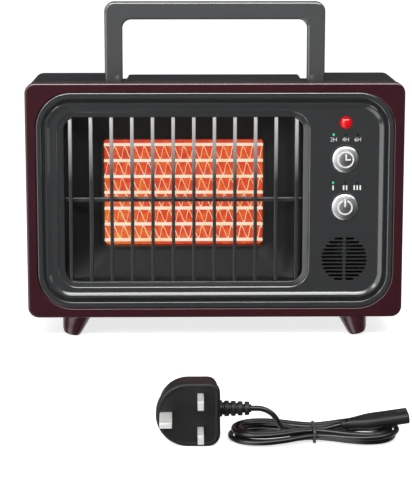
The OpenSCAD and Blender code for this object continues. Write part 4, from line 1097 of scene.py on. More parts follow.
    def plug(self) -> bpy.types.Object:
        """Build the plug: a waisted body behind a face plate with a rolled rim and three pockets.

        Returns:
            The plug.
        """
        form = Form()
        low = [(1.6 + a, b) for a, b in reversed(rounding(2.2))]
        waist = [(1.6, 14.8), (1.5, 15.4), (0.9, 15.9), (0.3, 16.2), (0.0, 17.0)]
        rim = [(a, self.plug_h - b) for a, b in rounding(1.8, 6)]
        level = self.plug_h - self.face_in
        face = [(2.5, self.plug_h), (2.9, level + 0.05), (3.3, level)]
        rings = [self.upright(form, self.plug_outline(inset), out)
                 for inset, out in low + waist + rim + face]
        form.skin(rings, capped=False)
        form.mesh.faces.new(rings[0])
        pockets = []
        for cx, cz, w, h in self.pin_places():
            edge = outline(w + 1.0, h + 1.0, 0.9, cx, cz, 4)
            inner = outline(w + 0.5, h + 0.5, 0.7, cx, cz, 4)
            well = [self.upright(form, edge, level), self.upright(form, inner, self.plug_h - 0.7),
                    self.upright(form, inner, self.plug_h - 2.2)]
            form.skin(well, capped=False)
            form.mesh.faces.new(well[-1])
            pockets.append(well[0])
        form.fill([rings[-1]] + pockets)
        return form.piece("plug_body", PLUG_BLACK, "plug_black", stands_for=("mains_plug",))

    @staticmethod
    def pin_places() -> list[tuple[float, float, float, float]]:
        """Give each pin's place about the plug's middle, and its section: live, neutral, then earth.

        Returns:
            Across, up, width and height of each pin.
        """
        spread, earth = 22.2, -14.4
        return [(earth + spread, spread / 2, 4.0, 6.35), (earth + spread, -spread / 2, 4.0, 6.35),
                (earth, 0.0, 8.0, 4.0)]

    def pins(self) -> bpy.types.Object:
        """Build the three flat pins, chamfered at the tip.

        Returns:
            The pins, as one piece.
        """
        form = Form()
        for (cx, cz, w, h), tall in zip(self.pin_places(), (17.7, 17.7, 22.7)):
            tip = self.plug_h + tall
            profile = ((0.0, self.plug_h - 3), (0.0, tip - 1.2), (0.25, tip - 0.5), (0.6, tip - 0.1),
                       (0.8, tip))
            form.skin([self.upright(form, outline(w - 2 * inset, h - 2 * inset, 0.5, cx, cz, 4), out)
                       for inset, out in profile])
        return form.piece("plug_blades", PIN_NICKEL, "pin_nickel", stands_for=("plug_pins",), sharp=50)

    def relief(self) -> bpy.types.Object:
        """Build the ribbed strain relief, with its end collar set apart.

        Returns:
            The strain relief.
        """
        form = Form()
        ribs, gap = 5, 1.3
        pitch = self.relief_len / ribs
        profile: list[Flat] = [(0.0, 0.0)]
        for i in range(ribs):
            r = 5.4 - 1.2 * i / ribs
            start = i * pitch
            end = start + pitch - gap
            profile += [(r - 0.4, start), (r, start + 0.4), (r, end - 0.4), (r - 0.4, end)]
            if i < ribs - 1:
                core = r - (2.0 if i == ribs - 2 else 1.3)
                profile += [(core, end + 0.1), (core, end + gap - 0.1)]
        profile += [(0.0, self.relief_len - gap)]
        form.lathe(profile, (self.relief_x, self.y, self.exit_z), Axis.X, 40)
        form.lathe([(0.0, 15.0), (2.9, 15.0), (2.6, self.relief_len), (0.0, self.relief_len)],
                   (self.relief_x, self.y, self.exit_z), Axis.X, 40)
        return form.piece("strain_relief", PLUG_BLACK, "plug_black", stands_for=("plug_relief",), sharp=50)

    def tie(self) -> bpy.types.Object:
        """Build the flat nylon tie round the hank's waist.

        Returns:
            The tie.
        """
        form = Form()
        wide = 1.6
        thick = 0.7
        inner_w = 2 * (2 * self.step_out + self.cord_d / 2) + 0.9
        inner_h = self.layers[1] + self.cord_d / 2 + 0.3 - thick
        corner = self.cord_d / 2 + 0.4
        mid = thick + inner_h / 2
        cut = 0.25
        section = [(0.0, cut), (0.0, wide - cut), (cut, wide), (thick - cut, wide), (thick, wide - cut),
                   (thick, cut), (thick - cut, 0.0), (cut, 0.0)]
        rings = []
        for grow, along in section:
            loop = outline(inner_w + 2 * grow, inner_h + 2 * grow, corner + grow, 0.0, mid, 8)
            rings.append(form.ring([(self.x - wide / 2 + along, self.y + a, b) for a, b in loop]))
        form.skin(rings, looped=True)
        return form.piece("hank_tie", TIE_GREY, "tie_black", stands_for=("cord_tie",), sharp=50)

    def connector(self) -> bpy.types.Object:
        """Build the two-hole connector: a slotted neck that flares into a flat body, which ends in a nose.

        Returns:
            The connector.
        """
        form = Form()
        length = 44.0
        neck_w, neck_h = 8.2, 7.0
        full = self.pin_gap + self.connector_t
        flare_from, flare_len = 3, 18
        edge_r, nose_r = 0.9, 0.7
        steps = 176
        rings = []
        for i in range(steps + 1):
            x = length * i / steps
            grow = min(max((x - flare_from) / flare_len, 0.0), 1.0)
            grow = grow * grow * (3 - 2 * grow)
            w = neck_w + (full - neck_w) * grow
            h = neck_h + (self.connector_t - neck_h) * grow
            ends = min(x / edge_r, (length - x) / nose_r, 1.0)
            shrink = edge_r * (1 - math.sqrt(max(1 - (1 - ends) ** 2, 0.0)))
            loop = outline(w - 2 * shrink, h - 2 * shrink, (h / 2 - 0.25) - shrink, 0, 0, 16)
            rings.append([(x, a, self.notched(x, a, b)) for a, b in self.dense(loop)])
        tilt = Matrix.Rotation(math.radians(-self.connector_tilt), 4, "Y")
        base = Vector((self.x + self.connector_x, self.y, self.connector_z))
        form.skin([form.ring([tuple(base + tilt @ Vector(p)) for p in ring]) for ring in rings])
        return form.piece("connector_body", PLUG_BLACK, "plug_black",
                          stands_for=("appliance_connector",), sharp=50)

    @staticmethod
    def dense(loop: list[Flat]) -> list[Flat]:
        """Add points along the two long flats of a loop, so that slots can be pressed into them.

        Args:
            loop: Closed outline.

        Returns:
            The outline with its added points.
        """
        points = []
        count = len(loop)
        steps = 24
        for k, (a, b) in enumerate(loop):
            c, d = loop[(k + 1) % count]
            points.append((a, b))
            if abs(c - a) > 1.0 and abs(d - b) < 0.01:
                points += [(a + (c - a) * j / steps, b) for j in range(1, steps)]
        return points

    def notched(self, x: float, y: float, z: float) -> float:
        """Press the neck's slots and holes and the nose's slot into the connector's skin.

        Args:
            x: Distance along the connector.
            y: Distance from its middle line.
            z: Height of the skin there.

        Returns:
            The height with the slots pressed in.
        """
        pitch, half, left_share = 3.9, 0.75, 0.62
        for i in range(3):
            slot = abs(x - (3.6 + i * pitch)) < half and -3.2 < y < 0.4
            hole = abs(x - (2.0 + i * pitch)) < half and 2.0 < y < 3.3
            if slot or hole:
                return z * left_share
        nose_from, nose_half, nose_deep = 36.0, 1.2, 0.9
        if x > nose_from and abs(y) < nose_half and z > 0:
            return z - nose_deep
        return z


@dataclass
class Casing:
    """Front bezel, feet, rear housing and back cover.

    Attributes:
        body_w: Width of the body.
        body_h: Height of the body.
        body_r: Radius of its corners.
        edge_r: Radius of the bezel's front edge.
        wall: Thickness of the bezel.
        opening_w: Width of the bezel's opening.
        opening_h: Height of the opening.
        opening_r: Radius of the opening's corners.
        opening_edge_r: Radius of the opening's edge.
        lip_depth: Depth of the lip round the opening.
        lip_t: Thickness of that lip.
        foot_x: Middle of a foot where it meets the body.
        foot_in: Distance from the front, and from the back, to the middle of a foot.
        foot_tilt: How far a foot is splayed, in degrees.
        foot_flare: How far its side opens towards the top, in degrees.
        foot_r: Radius at the floor.
        foot_soft: Radius of its edge at the floor.
    """
    body_w: float = 300.0
    body_h: float = 189.0
    body_r: float = 8.5
    edge_r: float = 1.5
    wall: float = 2.4
    opening_w: float = 283.8
    opening_h: float = 174.0
    opening_r: float = 28.5
    opening_edge_r: float = 0.8
    lip_depth: float = 7.0
    lip_t: float = 1.8
    foot_x: float = 112.0
    foot_in: Flat = (13.0, 14.0)
    foot_tilt: float = 15.0
    foot_flare: float = 15.0
    foot_r: float = 7.0
    foot_soft: float = 2.0

    def build(self) -> None:
        """Make the bezel and the feet, and dress the housing and the cover."""
        self.bezel()
        for side, place in ((-1, "left"), (1, "right")):
            self.foot(side, FRONT_Y + self.foot_in[0], f"foot_front_{place}")
            self.foot(side, BACK_Y - self.foot_in[1], f"foot_rear_{place}")
        dress("rear_housing", CHARCOAL, 0.8, 3)
        dress("back_cover", CHARCOAL, 0.35)

    def bezel(self) -> None:
        """Build the bezel as one closed band: outside, rolled edge, face, opening and its lip."""
        form = Form()
        rings = []

        def outer(inset: float, y: float) -> None:
            """Add a ring that follows the body's outside, drawn in by an inset, at depth y."""
            w, h, r = self.body_w - 2 * inset, self.body_h - 2 * inset, max(self.body_r - inset, 0.8)
            rings.append(form.across(outline(w, h, r, 0, MID_Z), y))

        def inner(grow: float, y: float) -> None:
            """Add a ring that follows the opening, grown by a distance, at depth y."""
            w, h = self.opening_w + 2 * grow, self.opening_h + 2 * grow
            rings.append(form.across(outline(w, h, self.opening_r + grow, 0, MID_Z), y))

        outer(self.wall, SEAM_Y)
        outer(0.4, SEAM_Y)
        outer(0.0, SEAM_Y - 0.4)
        for inset, back in EDGE:
            outer(inset * self.edge_r, FRONT_Y + back * self.edge_r)
        outer(self.edge_r + 0.8, FRONT_Y)
        inner(1.6, FRONT_Y)
        for inset, back in reversed(EDGE):
            inner(inset * self.opening_edge_r, FRONT_Y + back * self.opening_edge_r)
        inner(0.0, FRONT_Y + self.lip_depth)
        inner(self.lip_t, FRONT_Y + self.lip_depth)
        inner(self.lip_t, FRONT_Y + self.wall)
        outer(self.wall, FRONT_Y + self.wall)
        form.skin(rings, looped=True)
        form.piece("bezel", BURGUNDY, "burgundy_shell", stands_for=("front_bezel",))

    def foot(self, side: int, y: float, node: str) -> None:
        """Build one splayed foot.

        Args:
            side: -1 on the left, 1 on the right.
            y: Depth of its middle.
            node: CAD node that it stands for.
        """
        tilt = math.radians(self.foot_tilt)
        drop = self.foot_r * math.sin(tilt) - 0.6
        length = (FOOT_H + 4 - drop) / math.cos(tilt)
        end_x = self.foot_x + (FOOT_H - drop) * math.tan(tilt)
        top_r = self.foot_r + length * math.tan(math.radians(self.foot_flare))
        soft = self.foot_soft
        angles = [math.radians(75 * k / 6) for k in range(1, 7)]
        profile: list[Flat] = [(0.0, 0.0), (self.foot_r - soft, 0.0)]
        profile += [(self.foot_r - soft + soft * math.sin(t), soft * (1 - math.cos(t))) for t in angles]
        profile += [(self.foot_r + (top_r - self.foot_r) * s, length * s) for s in (0.18, 0.4, 0.7, 1.0)]
        profile += [(0.0, length)]
        form = Form()
        form.lathe(profile, (0.0, 0.0, 0.0), Axis.Z, 64)
        turn = Matrix.Rotation(-side * tilt, 4, "Y")
        for corner in form.mesh.verts:
            corner.co = turn @ corner.co + Vector((side * end_x, y, drop))
            corner.co.z = min(max(corner.co.z, 0.0), FOOT_H + 0.5)
        form.piece(node + "_turned", FOOT_BURGUNDY, "burgundy_shell", stands_for=(node,), sharp=60)


@dataclass
class Fascia:
    """Front panel: rim, groove, bead, flat, bowl, holes and vent, as one moulding.

    Attributes:
        panel_w: Width over the rim.
        panel_h: Height over the rim.
        panel_r: Radius of the rim's corners.
        flat_depth: Depth of the flat behind the bezel's face.
        panel_t: Thickness of the flat.
        bowl_x: Middle of the outlet bowl.
        bowl_wall: Thickness of the bowl's wall.
        control_x: Middle of the column of controls.
        light_pitch: Distance between the light pipes, and between the words and marks below them.
        vent_z: Height of the vent's middle.
    """
    panel_w: float = 283.2
    panel_h: float = 173.4
    panel_r: float = 28.2
    flat_depth: float = 2.6
    panel_t: float = 2.4
    bowl_x: float = -25.0
    bowl_wall: float = 2.2
    control_x: float = 103.5
    light_pitch: float = 9.6
    vent_z: float = MID_Z - 47.3

    def build(self) -> None:
        """Make the panel and its printing."""
        self.panel()
        self.printing()

    def loop(self, inset_x: float, inset_z: float) -> list[Flat]:
        """Draw the panel's outline drawn in at the sides and at top and bottom."""
        r = max(self.panel_r - (inset_x + inset_z) / 2, 6.0)
        return outline(self.panel_w - 2 * inset_x, self.panel_h - 2 * inset_z, r, 0, MID_Z, 20)

    def panel(self) -> None:
        """Build the panel as one closed moulding."""
        form = Form()
        flat_y = FRONT_Y + self.flat_depth
        back_y = flat_y + self.panel_t
        # Each row is the inset at the sides, the inset at top and bottom, and the depth behind the bezel.
        section = [
            (0.0, 0.0, 9.0), (0.0, 0.0, 1.5), (0.08, 0.08, 1.15), (0.25, 0.25, 1.0), (0.8, 0.8, 0.73),
            (1.05, 1.05, 0.7), (3.4, 3.9, 0.7), (3.6, 4.1, 0.74), (4.15, 4.7, 1.04), (4.35, 4.9, 1.3),
            (4.55, 5.15, 3.2), (4.9, 5.6, 4.0), (5.3, 6.2, 4.4), (6.0, 6.9, 4.4), (6.5, 7.4, 4.0),
            (6.8, 7.75, 3.2), (7.05, 8.0, 1.8), (7.25, 8.2, 1.2), (7.55, 8.5, 0.96), (7.95, 9.0, 0.92),
            (8.35, 9.85, 1.03), (8.9, 10.4, 1.3), (9.7, 11.3, 1.72), (10.5, 12.1, 2.14), (11.1, 12.65, 2.43),
            (11.6, 13.15, 2.57), (12.2, 13.75, 2.6), (13.2, 14.6, 2.6),
        ]
        rings = [form.across(self.loop(ix, iz), FRONT_Y + d) for ix, iz, d in section]
        form.skin(rings, capped=False)
        bowl_in = self.bowl_rings(form, 0.0, flat_y)
        bowl_out = self.bowl_rings(form, self.bowl_wall, back_y)
        form.skin(bowl_in, capped=False)
        form.skin(bowl_out, capped=False)
        form.bridge(bowl_in[-1], bowl_out[-1])
        back = [rings[0], form.across(self.loop(2.0, 2.0), FRONT_Y + 9.0),
                form.across(self.loop(7.0, 9.0), back_y + 2.0), form.across(self.loop(13.2, 14.6), back_y)]
        form.skin(back, capped=False)
        fronts, backs = [], []
        for points, edge in self.holes():
            widened = self.widen(points, edge)
            front = form.across(widened, flat_y)
            chain = [front, form.across(points, flat_y + edge), form.across(points, back_y)]
            form.skin(chain, capped=False)
            fronts.append(front)
            backs.append(chain[-1])
        form.fill([rings[-1], bowl_in[0]] + fronts)
        form.fill([back[-1], bowl_out[0]] + backs)
        form.piece("front_moulding", PANEL, "panel_black", stands_for=("front_panel",), sharp=22)

    def bowl_rings(self, form: Form, grow: float, start_y: float) -> list[list[bmesh.types.BMVert]]:
        """Build the rings of the bowl's inside, or of its outside when grown by its wall.

        Args:
            form: Mesh that takes the rings.
            grow: Distance outwards from the inside.
            start_y: Depth of the first ring.

        Returns:
            Rings from the mouth to the floor.
        """
        # Each row is the width, the height, the radius of the corners, the depth and the middle's height.
        mouth = [(200.9, 142.4, 15.7, 0.0, 112.3), (199.8, 141.3, 15.2, 0.28, 112.3),
                 (199.4, 140.9, 15.0, 0.8, 112.3), (199.0, 140.5, 14.8, 1.0, 112.25)]
        rest = [(191.6, 134.4, 11.2, 1.9, 112.0), (190.3, 133.2, 10.4, 2.2, 112.0),
                (189.9, 132.8, 10.2, 3.0, 112.0), (189.9, 132.8, 10.2, 11.6, 112.0),
                (189.3, 132.3, 11.0, 12.8, 112.02), (187.9, 131.2, 13.0, 13.8, 112.05),
                (185.4, 129.4, 15.0, 14.9, 112.1), (168.9, 117.4, 17.0, 19.6, 112.36),
                (151.9, 105.0, 14.0, 24.5, 112.62), (137.6, 94.8, 10.0, 28.6, 112.82),
                (134.6, 92.6, 8.6, 29.4, 112.86), (133.0, 91.4, 8.0, 30.4, 112.9)]
        rows = mouth + rest if grow == 0 else [(190.3, 133.2, 10.4, 2.4, 112.0)] + rest[2:]
        rings = []
        for w, h, r, depth, z in rows:
            y = FRONT_Y + self.flat_depth + depth
            if grow:
                y = max(start_y, y)
            rings.append(form.across(outline(w + 2 * grow, h + 2 * grow, r + grow, self.bowl_x, z, 14), y))
        return rings

    def holes(self) -> list[tuple[list[Flat], float]]:
        """List the holes in the flat: their outlines and the width of their broken edge.

        Returns:
            Each hole's outline with the width of its edge.
        """
        x = self.control_x
        found = [(circle(11.4, x, z, 72), 0.5) for z in (MID_Z + 33.2, MID_Z - 5.2)]
        found.append((circle(5.0, x, MID_Z + 62.6, 48), 0.4))
        for z in (MID_Z + 53.0, MID_Z + 14.5):
            found += [(circle(0.98, x + i * self.light_pitch, z, 20), 0.15) for i in (-1, 0, 1)]
        vent_r, pitch, slot_h, split = 18.3, 3.0, 1.85, 2.0
        for i in range(12):
            dz = (i - 5.5) * pitch
            half = math.sqrt(vent_r ** 2 - dz ** 2)
            length = half - split / 2
            for s in (-1, 1):
                mid = x + s * (split / 2 + length / 2)
                found.append((outline(length, slot_h, 0.6, mid, self.vent_z + dz, 3), 0.06))
        return found

    @staticmethod
    def widen(points: list[Flat], edge: float) -> list[Flat]:
        """Move each point of a hole's outline away from its middle by the edge's width.

        Args:
            points: Outline of a round hole or of a level slot.
            edge: Width of the edge.

        Returns:
            The wider outline.
        """
        mx = sum(p[0] for p in points) / len(points)
        mz = sum(p[1] for p in points) / len(points)
        half_w = max(p[0] for p in points) - mx
        half_h = max(p[1] for p in points) - mz
        if half_w > 1.5 * half_h:
            return [(px + edge * math.copysign(min(abs(px - mx) * 2, 1), px - mx),
                     pz + edge * math.copysign(min(abs(pz - mz) * 2, 1), pz - mz)) for px, pz in points]
        return [(mx + (px - mx) * (1 + edge / math.hypot(px - mx, pz - mz)),
                 mz + (pz - mz) * (1 + edge / math.hypot(px - mx, pz - mz))) for px, pz in points]

    def printing(self) -> None:
        """Print the hours, and the level marks below them, on the flat."""
        level = FRONT_Y + self.flat_depth - 0.06
        for i, words in enumerate(("2H", "4H", "6H")):
            data = bpy.data.curves.new(f"hours_{words}", "FONT")
            data.body = words
            data.size = 4.6 * MM
            data.extrude = 0.03 * MM
            data.offset = -0.03 * MM
            data.align_x = "CENTER"
            data.align_y = "CENTER"
            text = bpy.data.objects.new(f"hours_{words}", data)
            text.rotation_euler = (math.radians(90), 0, 0)
            text.location = Vector((self.control_x + (i - 1) * self.light_pitch, level, MID_Z + 49.0)) * MM
            bpy.context.scene.collection.objects.link(text)
            settle(text, PRINT_WHITE)
        form = Form()
        for i in range(3):
            for j in range(i + 1):
                x = self.control_x + (i - 1) * self.light_pitch + (j - i / 2) * 2.4
                loop = outline(1.15, 3.8, 0.2, x, MID_Z + 10.5, 3)
                form.skin([form.across(loop, level - 0.04), form.across(loop, level + 0.06)])
        form.piece("level_marks", PRINT_WHITE, "print_white", stands_for=("panel_print",))


@dataclass
class Grille:
    """Twelve upright blades on a cross rail.

    Attributes:
        count: Number of blades.
        middle_x: Middle of the grille.
        pitch: Distance between the blades.
        blade_t: Thickness of a blade, seen from the front.
        blade_d: Depth of a blade.
        front_y: Depth of the blades' front.
        throat_w: Width of the throat that holds them.
        throat_h: Height of that throat.
        throat_r: Radius of its corners.
        throat_z: Height of its middle.
        seat: Clearance between the throat and what ends at it.
        rail_h: Height of the rail.
        rail_d: Depth of the rail.
        rail_z: Height of the rail's middle.
        rail_slope: How far the slope on the rail's upper front edge reaches back and down.
    """
    count: int = 12
    middle_x: float = -25.0
    pitch: float = 179.9 / 11
    blade_t: float = 2.7
    blade_d: float = 7.0
    front_y: float = -41.4
    throat_w: float = 189.9
    throat_h: float = 132.8
    throat_r: float = 10.2
    throat_z: float = 112.0
    seat: float = 0.2
    rail_h: float = 3.4
    rail_d: float = 3.0
    rail_z: float = 111.3
    rail_slope: Flat = (0.56, 1.1)

    def build(self) -> None:
        """Make the blades and the rail."""
        form = Form()
        for i in range(self.count):
            self.blade(form, self.middle_x + (i - (self.count - 1) / 2) * self.pitch)
        blades = form.piece("blades", BLADE_SILVER, "grille_silver", stands_for=("grille_blades",), sharp=50)
        self.soften(blades, 0.45)
        form = Form()
        half = self.throat_w / 2 - self.seat
        y0 = self.front_y + self.blade_d
        low, high = self.rail_z - self.rail_h / 2, self.rail_z + self.rail_h / 2
        back, down = self.rail_slope
        section = [(y0, low), (y0, high - down), (y0 + back, high), (y0 + self.rail_d, high),
                   (y0 + self.rail_d, low)]
        form.skin([form.ring([(self.middle_x + side * half, y, z) for y, z in section])
                   for side in (-1, 1)])
        rail = form.piece("cross_rail", RAIL_GREY, "grille_silver", stands_for=("grille_rail",), sharp=20)
        self.soften(rail, 0.15)

    @staticmethod
    def soften(piece: bpy.types.Object, width: float) -> None:
        """Round the edges of a piece by a width in millimetres.

        Args:
            piece: The object.
            width: Width of the rounded edge.
        """
        bevel = piece.modifiers.new("rolled_edges", "BEVEL")
        bevel.width = width * MM
        bevel.segments = 4
        bevel.limit_method = "ANGLE"
        bevel.angle_limit = math.radians(20)
        piece.modifiers.move(len(piece.modifiers) - 1, 0)

    def reach(self, x: float) -> float:
        """Give how far the throat reaches above its middle at x.

        Args:
            x: Place across.

        Returns:
            Height of the throat's edge above its middle.
        """
        past = abs(x - self.middle_x) - (self.throat_w / 2 - self.throat_r)
        cut = 0.0 if past <= 0 else self.throat_r - math.sqrt(max(self.throat_r ** 2 - past ** 2, 0.0))
        return self.throat_h / 2 - cut - self.seat

    def blade(self, form: Form, x: float) -> None:
        """Add a blade whose ends follow the throat.

        Args:
            form: Mesh that takes it.
            x: Middle of the blade.
        """
        left, right = x - self.blade_t / 2, x + self.blade_t / 2
        corners = [(left, self.throat_z - self.reach(left)), (right, self.throat_z - self.reach(right)),
                   (right, self.throat_z + self.reach(right)), (left, self.throat_z + self.reach(left))]
        form.skin([form.across(corners, self.front_y), form.across(corners, self.front_y + self.blade_d)])


@dataclass
class HeatingElement:
    """Glowing bars, corrugated fins and the ceramic behind them.

    Attributes:
        width: Width of the element.
        height: Height of the element.
        x: Middle across.
        z: Middle upwards.
        face_y: Depth of the bars' face.
        bars: Number of bars.
        bar_h: Height of a bar.
        bar_d: Depth of a bar.
        end_gap: Distance from the element's top or bottom to the middle of the nearest bar.
        folds: Folds of a fin.
        fin_t: Thickness of its sheet.
        fin_gap: Clearance above and below a fin.
        fin_y: Distance from the bars' face to the front of the fins.
        fin_d: Depth of the fins.
        row_lead: Share of a fold by which each row starts further on than the one below.
        fall_share: Share of a fold in which the sheet falls.
        ceramic_y: Distance from the bars' face to the front of the ceramic.
        ceramic_d: Depth of the ceramic.
    """
    width: float = 129.0
    height: float = 87.4
    x: float = -25.0
    z: float = 112.9
    face_y: float = -11.5
    bars: int = 7
    bar_h: float = 1.85
    bar_d: float = 5.0
    end_gap: float = 4.4
    folds: int = 16
    fin_t: float = 0.34
    fin_gap: float = 0.7
    fin_y: float = 0.5
    fin_d: float = 3.9
    row_lead: float = 0.37
    fall_share: float = 0.68
    ceramic_y: float = 5.2
    ceramic_d: float = 7.0

    def build(self) -> None:
        """Make the bars, the fins and the ceramic, and dress the frame and the terminals."""
        pitch = (self.height - 2 * self.end_gap) / (self.bars - 1)
        rows = [self.z + (i - (self.bars - 1) / 2) * pitch for i in range(self.bars)]
        form = Form()
        for z in rows:
            rings = []
            for inset, back in reversed(rounding(0.6, 3)):
                loop = outline(self.width - 2 * inset, self.bar_h - 2 * inset, 0.4, self.x, z, 3)
                rings.append(form.across(loop, self.face_y + back))
            rings.append(form.across(outline(self.width, self.bar_h, 0.4, self.x, z, 3),
                                     self.face_y + self.bar_d))
            form.skin(rings)
        form.piece("electrodes", BAR_GLOW, "heater_fin", stands_for=("electrode_bars",), sharp=50)
        form = Form()
        for i, z in enumerate(rows[:-1]):
            self.wave(form, z + self.bar_h / 2 + self.fin_gap, z + pitch - self.bar_h / 2 - self.fin_gap,
                      self.row_lead * (i + 2 - self.bars))
        form.piece("fins", FIN_GLOW, "heater_fin", stands_for=("heater_fins",), sharp=60)
        form = Form()
        front_y = self.face_y + self.ceramic_y
        corner_r = 3.5
        rings = []
        for inset, back in reversed(rounding(0.8, 3)):
            w, h = self.width - 2 * inset, self.height - 2 * inset
            rings.append(form.across(outline(w, h, corner_r - inset, self.x, self.z, 8), front_y + back))
        rings.append(form.across(outline(self.width, self.height, corner_r, self.x, self.z, 8),
                                 front_y + self.ceramic_d))
        form.skin(rings)
        form.piece("ceramic", CERAMIC_GLOW, "heater_ceramic", stands_for=("ceramic_panel",), sharp=50)
        dress("element_frame", INNER_BLACK, 0.4)
        dress("element_terminals", STEEL, 0.1)

    def swing(self, t: float) -> float:
        """Give a fin's height from -1 to 1 after t folds: a slow fall and then a steep rise.

        Args:
            t: Folds passed since the start.

        Returns:
            The height.
        """
        part = t % 1.0
        if part < self.fall_share:
            return math.cos(math.pi * part / self.fall_share)
        return -math.cos(math.pi * (part - self.fall_share) / (1 - self.fall_share))

    def wave(self, form: Form, low: float, high: float, lead: float) -> None:
        """Add one corrugated fin.

        Args:
            form: Mesh that takes it.
            low: Height of its lowest line.
            high: Height of its highest line.
            lead: Share of a fold by which it starts further on.
        """
        end_gap = 0.3
        start = self.x - self.width / 2 + end_gap
        period = (self.width - 2 * end_gap) / self.folds
        steps = 24
        centre = []
        for k in range(self.folds * steps + 1):
            t = k / steps
            z = (low + high) / 2 + (high - low - self.fin_t) / 2 * self.swing(t + lead)
            centre.append(Vector((start + period * t, z)))
        sides: list[tuple[Flat, Flat]] = []
        for k, spot in enumerate(centre):
            before = centre[max(k - 1, 0)]
            after = centre[min(k + 1, len(centre) - 1)]
            way = (after - before).normalized()
            off = Vector((-way.y, way.x)) * self.fin_t / 2
            sides.append(((spot.x + off.x, spot.y + off.y), (spot.x - off.x, spot.y - off.y)))
        y0, y1 = self.face_y + self.fin_y, self.face_y + self.fin_y + self.fin_d
        rings = [form.ring([(a[0], y0, a[1]), (b[0], y0, b[1]), (b[0], y1, b[1]), (a[0], y1, a[1])])
                 for a, b in sides]
        form.skin(rings)


